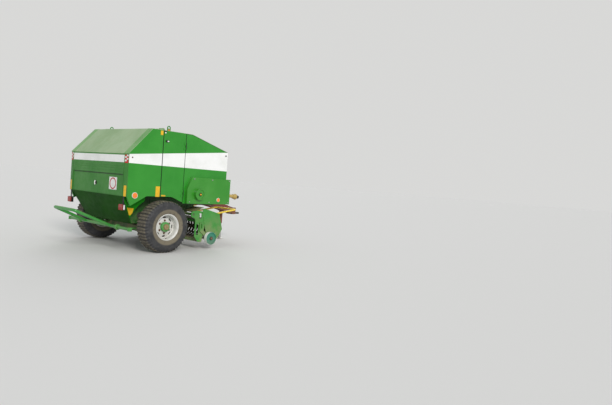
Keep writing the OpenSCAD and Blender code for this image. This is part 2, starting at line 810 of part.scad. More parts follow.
// Everything below the roof's inner faces
module under_roof() {
    side_plate(half_w, 2 * half_w, [
        [rear_x - 20, 0], [0, 0], [0, top_z - sheet_t], [ridge_in_x, top_z - sheet_t],
        [rear_x, rear_top_z - slope_drop - seat_gap], [rear_x - 20, rear_top_z - slope_drop - seat_gap]
    ]);
}

module rear_panel() in_frame() color("seagreen") intersection() {
    union() {
        edge = half_w - corner_w - groove;
        step_x = rear_x + rear_step;
        back_x = rear_x + 30;
        block([rear_x, -edge, step_z], [rear_x + sheet_t, edge, top_z]);
        block([rear_x, -edge, step_z], [step_x + sheet_t, edge, step_z + sheet_t]);
        block([step_x, -edge, bend_z], [step_x + sheet_t, edge, step_z + sheet_t]);
        pair() {
            // Corner post, and the groove between it and the panel
            translate([0, 0, bend_z]) linear_extrude(top_z - bend_z) polygon([
                [rear_x, edge + groove], [rear_x + corner_back, half_w],
                [rear_x + corner_back + sheet_t, half_w], [rear_x + sheet_t, edge + groove + sheet_t],
                [back_x, edge + groove + sheet_t], [back_x, edge - sheet_t],
                [rear_x + sheet_t - overlap, edge - sheet_t], [rear_x + sheet_t - overlap, edge],
                [back_x - sheet_t, edge], [back_x - sheet_t, edge + groove]
            ]);
        }
    }
    under_roof();
}

module lower_panel() in_frame() color(dark_green) {
    fall = [gate_low_x - rear_x, bend_z - gate_low_z];
    top_w = half_w - corner_w;
    difference() {
        translate([rear_x, 0, bend_z]) rotate([0, atan2(fall[1], fall[0]), 0])
            linear_extrude(sheet_t) polygon([[0, -top_w], [norm(fall), -gate_low_w],
                                             [norm(fall), gate_low_w], [0, top_w]]);
        block([rear_x - 50, -half_w, bend_z - seat_gap], [0, half_w, bend_z + 50]);
    }
    pair() cheek(top_w, sheet_t * norm(fall) / fall[1] + seat_gap);
}

// The slanted side sheet between the lower panel and the wheel; it starts behind the panel
module cheek(top_w, inward) {
    lean = [top_w - gate_low_w, bend_z - gate_low_z];
    difference() {
        translate([0, gate_low_w, gate_low_z]) rotate([atan2(lean[1], lean[0]), 0, 0])
            linear_extrude(sheet_t) polygon([
                [gate_low_x + inward, 0], [cheek_front_x, 0], [cheek_front_x, norm(lean)],
                [rear_x + inward, norm(lean)]
            ]);
        block([rear_x - 50, 0, bend_z - seat_gap], [0, half_w, bend_z + 50]);
        round_y(0, axle_z, tyre_r + 45, upright_y + 10, half_w);
    }
}

module rear_lamps() in_frame() color("firebrick") pair() {
    lamp_x = rear_x - 34;
    lamp_y = half_w - 84;
    block([lamp_x, lamp_y - 54, 670], [lamp_x + 54, lamp_y + 54, 766]);
    block([lamp_x + 40, lamp_y - 10, 765], [lamp_x + 44, lamp_y + 30, bend_z - seat_gap]);
}

module sign_plate() in_frame() color("white")
    block([rear_x + rear_step - 3.3, -608, 972], [rear_x + rear_step - 0.3, -383, 1172]);

module wheel_at(side) {
    translate([0, side * wheel_y, axle_z]) mirror([0, side < 0 ? 1 : 0, 0]) rotate([-90, 0, 0]) children();
}

// The carcass, with lugs across the tread; corners of a lug are [part of its half width, height]
module tyre() {
    half = tyre_w / 2;
    shoulder_r = tyre_r - 48;
    side = [
        [tyre_r - lug_h, half - 34], [shoulder_r, half - 8], [rim_r + 84, half], [bead_r, half - 34]
    ];
    rotate_extrude($fn = 72) polygon(concat(
        side, [for (i = [len(side) - 1:-1:0]) [side[i][0], -side[i][1]]]
    ));
    lug_turn = 180 / lugs - asin(slot_w / 2 / tyre_r);
    corners = [[-1, -lug_h - 10], [-1, 0], [0, 0], [1, 0], [1, -lug_h - 10]];
    translate([0, 0, 40 - half]) linear_extrude(tyre_w - 80) difference() {
        polygon([
            for (i = [0:lugs - 1])
                for (c = corners)
                    let (a = i * 360 / lugs + c[0] * lug_turn)
                        (tyre_r + c[1]) * [cos(a), sin(a)]
        ]);
        circle(shoulder_r);
    }
}

module rim() {
    half = tyre_w / 2;
    seat_r = bead_r - seat_gap;
    well_r = seat_r - 7;
    flat_r = nut_ring + 24;
    hand_holes = 8;
    difference() {
        rotate_extrude() polygon([
            [hub_r + seat_gap, 30], [flat_r, 30], [well_r - 12, 12], [well_r, 12], [well_r, 40 - half],
            [rim_r - 8, 15 - half], [rim_r + 2, 15 - half], [rim_r + 2, 22.5 - half],
            [seat_r, 33.5 - half], [seat_r, half - 33.5], [rim_r + 2, half - 22.5],
            [rim_r + 2, half - 15], [rim_r - 8, half - 15], [well_r, half - 40], [well_r, 20],
            [well_r - 12, 20], [flat_r, 38], [hub_r + seat_gap, 38]
        ]);
        for (i = [0:hand_holes - 1])
            rotate([0, 0, i * 360 / hand_holes]) {
                for (y = [-16, 16])
                    translate([(flat_r + well_r) / 2 - 4, y, 0]) cylinder(h = 60, r = 15);
                translate([(flat_r + well_r) / 2 - 19, -16, 0]) cube([30, 32, 60]);
            }
        on_nut_ring() translate([0, 0, 20]) cylinder(h = 30, r = stud_r + 1);
    }
}

module on_nut_ring() {
    for (i = [0:nuts - 1])
        rotate([0, 0, (i + 0.5) * 360 / nuts]) translate([nut_ring, 0, 0]) children();
}

module hub() {
    difference() {
        union() {
            translate([0, 0, -hub_in]) cylinder(h = hub_in + 84, r = hub_r);
            translate([0, 0, 18]) cylinder(h = 12 - seat_gap, r = nut_ring + 18);
            translate([0, 0, 84 - overlap]) cylinder(h = 30, r = 46);
        }
        translate([0, 0, -hub_in - 1]) cylinder(h = hub_in + hub_out + 1, r = spindle_r + run_gap);
    }
    on_nut_ring() {
        translate([0, 0, 28]) cylinder(h = 34, r = stud_r);
        translate([0, 0, 38 + seat_gap]) cylinder(h = 16, r = 14, $fn = 6);
    }
}

module tyre_right() in_frame() color("dimgray") wheel_at(-1) tyre();

module tyre_left() in_frame() color("dimgray") wheel_at(1) tyre();

module rim_right() in_frame() color("silver") wheel_at(-1) rim();

module rim_left() in_frame() color("silver") wheel_at(1) rim();

module hub_right() in_frame() color(green) wheel_at(-1) hub();

module hub_left() in_frame() color(green) wheel_at(1) hub();

module pickup_frame() in_frame() color(green) {
    pair() {
        side_plate(shield_y + shield_t, shield_t, [
            [813, 642], [826, 722], [922, 706], [1204, 630], [1291, 351], [1195, 194], [1120, 150],
            [960, 150], [911, 314]
        ]);
        // Arm with the pivot and two adjusting slots
        difference() {
            side_plate(shield_y - seat_gap, 10 - seat_gap, [
                [575, 575], [640, 556], [668, 520], [664, 232], [755, 132], [830, 132], [880, 400],
                [880, 665], [690, 686], [575, 665]
            ]);
            round_y(pick_x, pick_z, pivot_r + run_gap, arm_y - overlap, shield_y + overlap);
            block([754, arm_y - overlap, 545], [800, shield_y + overlap, 640]);
            block([700, arm_y - overlap, 262], [746, shield_y + overlap, 448]);
        }
        gauge_carrier();
        // Guide sheet beside the chamber
        translate([0, (upright_y + 40 + arm_y - seat_gap) / 2, 0])
            sheet([642, 672], [850, 742], arm_y - seat_gap - upright_y - 40, sheet_t);
    }
    half = arm_y - seat_gap;
    for (t = [[tail_high_x, reel_z + band_r - band_t - seat_gap], [tail_low_x, reel_z - band_r - seat_gap]])
        block([t[0], -half, t[1] - beam_side], [t[0] + beam_side, half, t[1]]);
    round_y(bow_tube[0], bow_tube[1], bow_tube_r, -shield_y + seat_gap, shield_y - seat_gap);
}

// Bracket, arm and stub axle of a gauge wheel, on the outer face of the pickup's end
module gauge_carrier() {
    inner = shield_y + shield_t + seat_gap;
    difference() {
        union() {
            side_plate(inner + 12, 12, [
                [760, 470], [760, 325], [gauge_x - 24, gauge_z - 10], [gauge_x + 10, gauge_z - 24],
                [gauge_x + 24, gauge_z + 10], [838, 350], [838, 470]
            ]);
            round_y(gauge_x, gauge_z, gauge_axle_r, inner + 11, gauge_y + gauge_w / 2 + 8);
        }
        block([782, inner - 1, 372], [814, inner + 13, 452]);
    }
}

module pickup_bands() in_frame() color("dimgray")
    for (i = [0:bands - 1])
        translate([0, -arm_y + seat_gap + i * slot_pitch + band_gap / 2, 0]) band(slot_pitch - band_gap);

// One stripper band: round the front of the reel, with a flat tail to the rear above and below
module band(width) {
    translate([reel_x, width, reel_z]) rotate([90, 0, 0]) linear_extrude(width) {
        difference() {
            circle(band_r, $fn = 64);
            circle(band_r - band_t, $fn = 64);
            translate([-2 * band_r, -2 * band_r]) square([2 * band_r, 4 * band_r]);
        }
        translate([tail_high_x - reel_x, band_r - band_t]) square([reel_x - tail_high_x, band_t]);
        translate([tail_low_x - reel_x, -band_r]) square([reel_x - tail_low_x, band_t]);
    }
}

module pickup_reel() in_frame() color("gray") translate([reel_x, 0, reel_z]) {
    bar_ring = 110;
    bar_end = arm_y - 57;
    round_y(0, 0, 22, -shield_y + seat_gap, shield_y - seat_gap);
    for (y = [-bar_end, -4, bar_end - 8])
        round_y(0, 0, bar_ring + 18, y, y + 8);
    for (i = [0:tine_bars - 1])
        rotate([0, i * 360 / tine_bars, 0]) {
            round_y(bar_ring, 0, 13, -bar_end, bar_end);
            for (k = [1:bands - 1])
                translate([bar_ring, -arm_y + seat_gap + k * slot_pitch - 3, -3])
                    cube([tine_r - bar_ring, 6, 6]);
        }
}

module gauge_wheel() {
    difference() {
        union() {
            round_y(0, 0, gauge_r, -gauge_w / 2, gauge_w / 2);
            round_y(0, 0, 30, -gauge_w / 2 - 4, gauge_w / 2);
        }
        for (y = [-gauge_w, gauge_w / 2 - 14])
            difference() {
                round_y(0, 0, gauge_r - 10, y, y + gauge_w / 2 + 14);
                round_y(0, 0, 34, y - 1, y + gauge_w / 2 + 15);
            }
        round_y(0, 0, gauge_axle_r + run_gap, -gauge_w, gauge_w);
    }
}

module gauge_wheel_right() in_frame() color("teal")
    mirror([0, 1, 0]) translate([gauge_x, gauge_y, gauge_z]) gauge_wheel();

module gauge_wheel_left() in_frame() color("teal")
    translate([gauge_x, gauge_y, gauge_z]) gauge_wheel();

// One crop guard bow: two eyes on the pickup's tube, two arms and a front tube
module crop_guard() {
    difference() {
        union()
            for (y = [bow_in_y, bow_out_y])
                round_y(bow_tube[0], bow_tube[1], bow_tube_r + 10, y - 15, y + 15);
        round_y(bow_tube[0], bow_tube[1], bow_tube_r + seat_gap, 0, shield_y);
    }
    for (y = [bow_in_y, bow_out_y]) {
        bar([bow_tube[0] + bow_tube_r + 6, y, bow_tube[1]], [bow_x, y, bow_z], bow_r);
        translate([bow_x, y, bow_z]) sphere(bow_r + 1);
    }
    bar([bow_x, bow_in_y, bow_z], [bow_x, bow_out_y, bow_z], bow_r);
}

module crop_guard_right() in_frame() color("gold") mirror([0, 1, 0]) crop_guard();

module crop_guard_left() in_frame() color("gold") crop_guard();

module feed_rotor() in_frame() color("gray") translate([540, 0, 560]) {
    half = wall_y - 4;
    core = 46;
    round_y(0, 0, core, -half, half);
    for (i = [0:3])
        rotate([0, i * 90, 0]) block([core - 8, -half, -5], [118, half, 5]);
}

module bale_kicker() in_frame() color(green) {
    a = [kick_x, 390, kick_z];
    b = [kick_bar_x, kick_bar_y, kick_bar_z];
    round_y(kick_x, kick_z, kick_r, -kick_end_y, kick_end_y);
    pair() {
        bar(a, b, kick_r);
        translate(b) sphere(kick_ball_r);
        translate([kick_x, 0, kick_z]) block([-34, kick_end_y - overlap, -30], [34, kick_end_y + 24, 30]);
    }
    round_y(kick_bar_x, kick_bar_z, kick_r, -kick_bar_y, kick_bar_y);
}

// The barrel of a tailgate cylinder, from its base pin towards the tailgate
module cylinder_barrel() {
    d = rod_end - barrel_base;
    translate([barrel_base[0], cylinder_y, barrel_base[1]]) rotate([0, -atan2(d[1], d[0]), 0]) difference() {
        union() {
            round_y(0, 0, 36, -16, 16);
            rotate([0, 90, 0]) cylinder(h = norm(d) - 80, r = barrel_r);
        }
        round_y(0, 0, base_pin_r + run_gap, -barrel_r - overlap, barrel_r + overlap);
        translate([40, 0, 0]) rotate([0, 90, 0]) cylinder(h = norm(d), r = rod_r + run_gap);
    }
}

module cylinder_rod() {
    d = rod_end - barrel_base;
    translate([rod_end[0], cylinder_y, rod_end[1]]) rotate([0, -atan2(d[1], d[0]), 0]) {
        rotate([0, -90, 0]) cylinder(h = norm(d) - 60, r = rod_r);
        difference() {
            round_y(0, 0, 30, -14, 14);
            round_y(0, 0, 16, -20, 20);
        }
    }
}

module barrel_right() in_frame() color("dimgray") mirror([0, 1, 0]) cylinder_barrel();

module barrel_left() in_frame() color("dimgray") cylinder_barrel();

module rod_right() in_frame() color("silver") mirror([0, 1, 0]) cylinder_rod();

module rod_left() in_frame() color("silver") cylinder_rod();

chamber_walls();
side_panels();
roof_front();
front_panel();
twine_box();
rollers_front();
axle();
kicker_arms();
drawbar();
hitch_eye();
gearbox();
lifting_eyes();
jack_tube();
jack_leg();
pto_shaft();
door_right();
chain_cover();
door_left();
box_lid();
tail_walls();
tail_side_panels();
tail_roof();
rear_panel();
lower_panel();
rollers_rear();
rear_lamps();
sign_plate();
tyre_right();
rim_right();
hub_right();
tyre_left();
rim_left();
hub_left();
pickup_frame();
pickup_bands();
pickup_reel();
gauge_wheel_right();
gauge_wheel_left();
crop_guard_right();
crop_guard_left();
feed_rotor();
bale_kicker();
barrel_right();
rod_right();
barrel_left();
rod_left();
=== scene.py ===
"""Looks of the round baler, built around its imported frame.

Lengths are metres. Places in this file are counted from the wheels' axle along +X, from the
middle along +Y (left) and from the ground along +Z; AXLE_X moves them into the frame.
"""

from math import atan2, copysign, cos, pi, radians, sin

import bmesh
import bpy
import numpy as np
from mathutils import Matrix, Vector


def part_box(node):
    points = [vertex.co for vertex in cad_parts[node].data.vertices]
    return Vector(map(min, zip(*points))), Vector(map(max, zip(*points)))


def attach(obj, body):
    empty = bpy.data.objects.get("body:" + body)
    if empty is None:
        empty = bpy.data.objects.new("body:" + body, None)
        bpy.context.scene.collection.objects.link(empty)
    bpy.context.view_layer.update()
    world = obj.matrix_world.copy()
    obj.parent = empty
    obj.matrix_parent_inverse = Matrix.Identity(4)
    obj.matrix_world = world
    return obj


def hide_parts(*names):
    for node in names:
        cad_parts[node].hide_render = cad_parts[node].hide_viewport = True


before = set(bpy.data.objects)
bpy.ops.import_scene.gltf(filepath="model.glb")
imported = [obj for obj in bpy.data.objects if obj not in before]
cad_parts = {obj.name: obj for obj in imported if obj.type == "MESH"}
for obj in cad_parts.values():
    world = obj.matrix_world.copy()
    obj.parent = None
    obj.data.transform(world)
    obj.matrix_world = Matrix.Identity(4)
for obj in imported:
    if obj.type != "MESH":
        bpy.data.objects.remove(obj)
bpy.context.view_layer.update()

# Sizes read from the frame
tyre_low, tyre_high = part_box("tyre_left")
AXLE_X = (tyre_low.x + tyre_high.x) / 2
AXLE_Z = (tyre_low.z + tyre_high.z) / 2
TYRE_R = (tyre_high.z - tyre_low.z) / 2
TYRE_HALF = (tyre_high.y - tyre_low.y) / 2
WHEEL_Y = (tyre_high.y + tyre_low.y) / 2
SHEET = 0.004
HALF_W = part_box("tail_side_panels")[1].y
TOP_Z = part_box("side_panels")[1].z + SHEET
FRONT_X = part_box("box_lid")[1].x - AXLE_X
REAR_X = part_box("rear_panel")[0].x - AXLE_X
POST_FOOT_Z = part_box("rear_panel")[0].z
SIGN_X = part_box("sign_plate")[0].x - AXLE_X
BOSS_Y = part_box("chain_cover")[0].y

# The same sizes as in the part's source
SEAM_X = -0.04
DOOR_SEAM_X = 0.41
RIDGE_X = -0.251
BEND_X = 0.543
SLOPE_LOW_Z = 1.552
FRONT_TOP_Z = 1.756
STEP_Z = 1.231
REAR_STEP = 0.012
POST_W = 0.095
POST_LEAN = 0.014
GROOVE = 0.01
COVER_D = 0.056
GATE_LOW = Vector((-0.4, 0.7, 0.44))
BAND_LOW_Z = 1.41
BAND_REAR_Z = 1.545
REAR_BAND_TOP_Z = 1.53
LUGS = 24
SLOT_W = 0.026
LUG_H = 0.015
RIM_R = 0.216
HUB_R = 0.08
NUT_RING = 0.104
REEL = Vector((1.03, 0, 0.36))
GAUGE = Vector((0.975, 0, 0.2))
BOSS = Vector((0.7, BOSS_Y, 0.97))
ARM_Y = 0.957

# Sizes of this file's own shapes
FILM = 0.0012  # a sticker's thickness
LIFT = 0.0002  # gap that keeps a sticker off its sheet
TIP = 0.0001  # radius at which a turned shape closes on its axis
EDGE_BLUR = 0.0015  # half the width over which a painted edge fades
UP = Vector((0, 0, 1))
SIDES = ((-1, "right"), (1, "left"))
BACKDROP = (0.69, 0.69, 0.68, 1)
FLOOR = (0.74, 0.73, 0.71, 1)


# ---- camera, light and floor


def new_object(name, data):
    """A new object, linked into the scene."""
    made = bpy.data.objects.new(name, data)
    bpy.context.scene.collection.objects.link(made)
    return made


def make_camera():
    """The photo's viewpoint: behind the right wheel, a little above the machine's middle."""
    yaw, pitch, roll = (radians(a) for a in (38.81, 2.14, 4.38))
    ahead = Vector((cos(yaw), sin(yaw), 0))
    right = Vector((sin(yaw), -cos(yaw), 0))
    look = ahead * cos(pitch) - Vector((0, 0, sin(pitch)))
    up = ahead * sin(pitch) + Vector((0, 0, cos(pitch)))
    image_right = right * cos(roll) + up * sin(roll)
    image_up = up * cos(roll) - right * sin(roll)
    data = bpy.data.cameras.new("photo_camera")
    data.lens = 29.82
    camera = new_object("photo_camera", data)
    turn = Matrix((image_right, image_up, -look)).transposed().to_4x4()
    camera.matrix_world = Matrix.Translation((AXLE_X - 4.996, -7.954, 1.301)) @ turn
    bpy.context.scene.camera = camera


def make_sun(name, comes_from, strength, width, colour):
    data = bpy.data.lights.new(name, "SUN")
    data.energy = strength
    data.angle = radians(width)
    data.color = colour
    turn = Vector(comes_from).to_track_quat("Z", "Y").to_euler()
    new_object(name, data).rotation_euler = turn


def make_world():
    """An even sky light; the camera, gloss and glass see a pale backdrop instead."""
    world = bpy.data.worlds.new("studio")
    bpy.context.scene.world = world
    world.use_nodes = True
    nodes = Nodes(world.node_tree)
    sky, output = (nodes.tree.nodes[name] for name in ("Background", "World Output"))
    nodes.feed(sky, {"Color": (0.92, 0.96, 1.0, 1), "Strength": 0.5})
    seen = nodes.node("Background", {"Color": BACKDROP})[0]
    rays = nodes.node("LightPath", {})
    direct = nodes.most(*(rays[f"Is {kind} Ray"] for kind in ("Camera", "Glossy", "Transmission")))
    both = nodes.node("MixShader", {"Fac": direct, 1: sky.outputs[0], 2: seen})
    nodes.feed(output, {"Surface": both[0]})


def make_floor():
    reach = 150
    corners = [(reach * x, reach * y, 0) for x, y in ((-1, -1), (1, -1), (1, 1), (-1, 1))]
    mesh = bpy.data.meshes.new("floor")
    mesh.from_pydata(corners, [], [(0, 1, 2, 3)])
    floor = new_object("floor", mesh)
    matt = bpy.data.materials.new("floor_matt")
    matt.use_nodes = True
    nodes = Nodes(matt.node_tree)
    nodes.feed(nodes.tree.nodes["Principled BSDF"],
               {"Base Color": FLOOR, "Roughness": 0.9, "Specular IOR Level": 0.2})
    mesh.materials.append(matt)


def make_stage():
    bpy.context.scene.view_settings.view_transform = "Standard"
    make_world()
    make_floor()
    make_sun("key", (-0.34, -0.8, 0.5), strength=1.95, width=20, colour=(1.0, 0.98, 0.95))
    make_sun("far_fill", (0.55, 0.62, 0.56), strength=0.7, width=30, colour=(0.97, 0.98, 1.0))


# ---- materials


def rgb(red, green, blue):
    """A linear colour from its display values, 0 to 255."""
    parts = [c / 255 for c in (red, green, blue)]
    return (*(c / 12.92 if c <= 0.04045 else ((c + 0.055) / 1.055) ** 2.4 for c in parts), 1)


def toned(base, share, lift=0):
    """A display colour's tone, scaled and lifted, as a linear colour."""
    return rgb(*[min(255, c * share + lift) for c in base])


DUST = rgb(158, 144, 112)
RUST = rgb(112, 66, 38)
# Near-black green painted as shade in the side joints and under the rear step
PAINTED_SHADE = rgb(16, 26, 14)
CAKED_DIRT = rgb(126, 117, 98)
CHALK = rgb(247, 247, 246)
WORN_CHALK = rgb(233, 234, 231)
GREEN = (28, 136, 22)
M = {}  # every material of the model by name


class Nodes:
    """A node tree, with short ways to write its sums."""

    def __init__(self, tree):
        self.tree = tree

    def feed(self, node, values):
        """Gives a node's inputs their sockets or plain values."""
        for key, value in values.items():
            if isinstance(value, bpy.types.NodeSocket):
                self.tree.links.new(value, node.inputs[key])
            else:
                node.inputs[key].default_value = value

    def node(self, kind, values, **settings):
        """The outputs of a new node with these settings, its inputs fed with values."""
        made = self.tree.nodes.new("ShaderNode" + kind)
        for key, value in settings.items():
            setattr(made, key, value)
        self.feed(made, values)
        return made.outputs

    def calc(self, operation, *values):
        return self.node("Math", dict(enumerate(values)), operation=operation)[0]

    def chain(self, operation, values):
        result = values[0]
        for value in values[1:]:
            result = self.calc(operation, result, value)
        return result

    def times(self, *values):
        return self.chain("MULTIPLY", values)

    def plus(self, *values):
        return self.chain("ADD", values)

    def most(self, *values):
        return self.chain("MAXIMUM", values)


class Shader(Nodes):
    """One material's nodes, with short ways to write its noise, masks and mixes."""

    def __init__(self, name):
        M[name] = material = bpy.data.materials.new(name)
        material.use_nodes = True
        super().__init__(material.node_tree)
        self.surface = self.tree.nodes["Principled BSDF"]
        coords = self.node("TexCoord", {})
        self.place = coords["Object"]
        self.x, self.y, self.z = self.node("SeparateXYZ", {0: self.place})
        _, self.aside, self.up = self.node("SeparateXYZ", {0: coords["Normal"]})

    def step(self, value, low, high, at_low=0.0, at_high=1.0):
        """A smooth change from at_low to at_high while value goes from low to high."""
        values = dict(enumerate((value, low, high, at_low, at_high)))
        return self.node("MapRange", values, interpolation_type="SMOOTHSTEP")[0]

    def spread(self, kind, stretch=(1, 1, 1), **values):
        """A texture's outputs, laid over the object's own coordinates."""
        mapping = self.node("Mapping", {"Vector": self.place, "Scale": stretch})
        return self.node(kind, {"Vector": mapping[0], **values})

    def noise(self, scale, detail=3.0, stretch=(1, 1, 1), rough=0.55, twist=0.0):
        return self.spread("TexNoise", stretch, Scale=scale, Detail=detail, Roughness=rough,
                           Distortion=twist)["Fac"]

    def mix(self, factor, first, second):
        return self.node("Mix", {"Factor": factor, 6: first, 7: second}, data_type="RGBA")[2]

    def bump(self, height, strength, distance):
        values = {"Height": height, "Strength": strength, "Distance": distance}
        self.feed(self.surface, {"Normal": self.node("Bump", values)[0]})

    def finish(self, colour, roughness, metallic=0.0):
        values = {"Base Color": colour, "Roughness": roughness, "Metallic": metallic}
        self.feed(self.surface, values)


def radius_about(s, centre):
    """Distance from a line along Y through a place."""
    dx = s.calc("SUBTRACT", s.x, centre.x + AXLE_X)
    dz = s.calc("SUBTRACT", s.z, centre.z)
    return s.calc("SQRT", s.plus(s.times(dx, dx), s.times(dz, dz)))


def between(s, value, low, high, blur=EDGE_BLUR):
    """1 where value lies between low and high."""
    return s.times(s.step(value, low - blur, low + blur),
                   s.step(value, high - blur, high + blur, 1.0, 0.0))


def dust_mask(s, amount, top):
    """Dust that lies on upward faces and thickens towards the ground."""
    patches = s.noise(5.5, detail=6, rough=0.65)
    fine = s.noise(38, detail=6, rough=0.7)
    cloud = s.plus(patches, s.times(fine, 0.35))
    low = s.times(s.step(s.z, top, 0.1), s.step(cloud, 0.48, 0.85))
    flat = s.times(s.step(s.up, 0.35, 0.95), s.step(patches, 0.25, 0.7), 0.75)
    return s.times(s.most(low, flat), amount)


def streak_mask(s, amount):
    """Runs of rain-washed dirt down upright faces."""
    runs = s.noise(16, detail=4, stretch=(1, 1, 0.07))
    patches = s.noise(2.1, detail=2)
    return s.times(s.step(runs, 0.52, 0.8), s.step(patches, 0.4, 0.7), amount)


def painted(name, base, faded, rough=0.36, dust=0.45, dust_top=1.0, streaks=0.35, coat=0.25,
            gloss=0.5, white=None, dark=None, field=None):
    """Sprayed sheet metal: uneven fading, runs, dust and fine scratches.

    white(s) masks a white field, dark(s) painted shade, and field is a mask and its colour.
    """
    s = Shader(name)
    fade = s.step(s.noise(1.6, detail=5, rough=0.6), 0.36, 0.68)
    colour = s.mix(fade, rgb(*base), rgb(*faded))
    speckle = s.step(s.noise(75, detail=4), 0.55, 0.8)
    colour = s.mix(s.times(speckle, 0.16), colour, toned(base, 0.72))
    if field:
        mask, own_colour = field
        colour = s.mix(mask(s), colour, rgb(*own_colour))
    colour = s.mix(streak_mask(s, streaks), colour, toned(base, 0.8, 46))
    scratch = s.step(s.noise(9, detail=8, stretch=(6, 6, 0.5), rough=0.8, twist=0.4), 0.69, 0.74)
    colour = s.mix(s.times(scratch, 0.28), colour, toned(base, 0.5, 88))
    if white:
        chalk = s.mix(s.step(s.noise(3.1, detail=6), 0.4, 0.75), CHALK, WORN_CHALK)
        colour = s.mix(white(s), colour, chalk)
    if dark:
        # Painted shade in joints and corners, where gaps and steps fall dark
        colour = s.mix(dark(s), colour, PAINTED_SHADE)
    dirt = dust_mask(s, dust, dust_top)
    colour = s.mix(dirt, colour, DUST)
    sheen = s.step(s.noise(11, detail=5), 0.3, 0.75, rough - 0.06, rough + 0.12)
    s.bump(s.plus(s.times(s.noise(2.3, detail=1), 0.35), s.times(s.noise(260), 0.02)), 0.35, 0.01)
    s.feed(s.surface, {"Coat Weight": coat, "Coat Roughness": 0.22, "Specular IOR Level": gloss})
    s.finish(colour, s.plus(sheen, s.times(dirt, 0.4)))


def side_band(s):
    """The wedge stripe on the sides: level lower edge, upper edge rising to the front."""
    rise = (FRONT_TOP_Z - BAND_REAR_Z) / (FRONT_X - REAR_X)
    edge = s.plus(s.times(s.calc("SUBTRACT", s.x, REAR_X + AXLE_X), rise), BAND_REAR_Z)
    under = s.step(s.calc("SUBTRACT", s.z, edge), -EDGE_BLUR, EDGE_BLUR, 1.0, 0.0)
    outer = s.step(s.calc("ABSOLUTE", s.y), HALF_W - 0.003, HALF_W - 0.002)
    return s.times(s.step(s.z, BAND_LOW_Z - EDGE_BLUR, BAND_LOW_Z + EDGE_BLUR), under, outer)


def rear_band(s):
    """The stripe across the middle rear panel."""
    end = HALF_W - POST_W - GROOVE
    middle = s.step(s.calc("ABSOLUTE", s.y), end, end - 0.001)
    skin = s.step(s.x, REAR_X + AXLE_X + 0.003, REAR_X + AXLE_X + 0.001)
    return s.times(between(s, s.z, BAND_LOW_Z + 0.005, REAR_BAND_TOP_Z), middle, skin)


def gauge_tread(s):
    return s.step(radius_about(s, GAUGE), 0.1108, 0.1114)


def seam_shadow(s):
    """Painted shade along the two joints of the side panels, where their gaps fall dark."""
    return s.most(*(between(s, s.x, seam + AXLE_X - half, seam + AXLE_X + half)
                    for seam, half in ((SEAM_X, 0.007), (DOOR_SEAM_X, 0.005))))


def step_shadow(s):
    """Painted shadow in the corner under the step of the rear panel."""
    inside = s.step(s.calc("ABSOLUTE", s.y), HALF_W - POST_W - 0.02, HALF_W - POST_W - 0.05)
    return s.times(between(s, s.z, STEP_Z - 0.02, STEP_Z, 0.005), inside, 0.62)


def cheek_mask(s):
    """The slanted side sheets: the side's green amid the lower panel's painted shade."""
    return s.step(s.calc("ABSOLUTE", s.aside), 0.5, 0.6)


def guide_mask(s):
    """The dusty guide sheets behind the pickup's arms."""
    inside = s.step(s.calc("ABSOLUTE", s.y), ARM_Y, ARM_Y - 0.002)
    return s.times(inside, s.step(s.z, 0.664, 0.668), 0.8)


def metal(name, base, second, rough=0.45, metallic=0.85, rust=0.25, dust=0.35, dust_top=0.9):
    """Bare or zinc-plated steel with rust freckles and dust."""
    s = Shader(name)
    tone = s.noise(7, detail=6)
    colour = s.mix(s.step(tone, 0.3, 0.7), rgb(*base), rgb(*second))
    freckles = s.times(s.step(s.noise(28, detail=7, rough=0.7), 0.56, 0.72), rust)
    colour = s.mix(freckles, colour, RUST)
    dirt = dust_mask(s, dust, dust_top)
    colour = s.mix(dirt, colour, DUST)
    cover = s.most(freckles, dirt)
    shine = s.calc("SUBTRACT", metallic, s.times(cover, metallic))
    s.bump(s.plus(s.times(s.noise(140, detail=4), 0.4), freckles), 0.25, 0.0015)
    sheen = s.step(tone, 0.25, 0.75, rough - 0.08, rough + 0.1)
    s.finish(colour, s.plus(sheen, s.times(cover, 0.3)), shine)


def rubber(name):
    """Tyre rubber: dusty tread, dark shoulder and a tan ring of dust beside the rim."""
    s = Shader(name)
    away = radius_about(s, Vector((0, 0, AXLE_Z)))
    tone = s.noise(9, detail=6)
    colour = s.mix(s.step(tone, 0.3, 0.7), rgb(40, 41, 44), rgb(62, 62, 64))
    cake = s.noise(18, detail=8, rough=0.72)
    inner = s.times(s.step(away, RIM_R + 0.086, RIM_R + 0.06),
                    s.step(cake, 0.28, 0.5, 0.35, 1.0), 0.85)
    tread = s.times(s.step(away, TYRE_R - 0.022, TYRE_R - 0.003),
                    s.step(cake, 0.36, 0.62, 0.25, 1.0), 0.8)
    wall = s.times(s.step(cake, 0.5, 0.75), 0.22)
    dirt = s.most(inner, tread, wall)
    colour = s.mix(dirt, colour, CAKED_DIRT)
    s.bump(s.plus(s.times(cake, 0.6), s.times(s.noise(160), 0.2)), 0.3, 0.003)
    s.finish(colour, s.plus(s.times(dirt, 0.25), s.step(tone, 0.3, 0.7, 0.55, 0.7)))


def plastic(name, base, second, rough=0.4, dust=0.2):
    """Moulded plastic or a sticker's film, slightly mottled."""
    s = Shader(name)
    colour = s.mix(s.step(s.noise(30, detail=4), 0.35, 0.7), rgb(*base), rgb(*second))
    dirt = dust_mask(s, dust, 0.9)
    colour = s.mix(dirt, colour, DUST)
    s.bump(s.noise(240), 0.08, 0.001)
    s.finish(colour, s.plus(s.times(dirt, 0.4), rough))


def reflector_film(name, base, second):
    """A lamp's or reflector's prismatic face."""
    s = Shader(name)
    prism = s.spread("TexVoronoi", Scale=260)["Distance"]
    colour = s.mix(s.step(prism, 0.1, 0.6), rgb(*base), rgb(*second))
    s.bump(prism, 0.5, 0.001)
    s.feed(s.surface, {"Coat Weight": 0.8})
    s.finish(colour, 0.3)
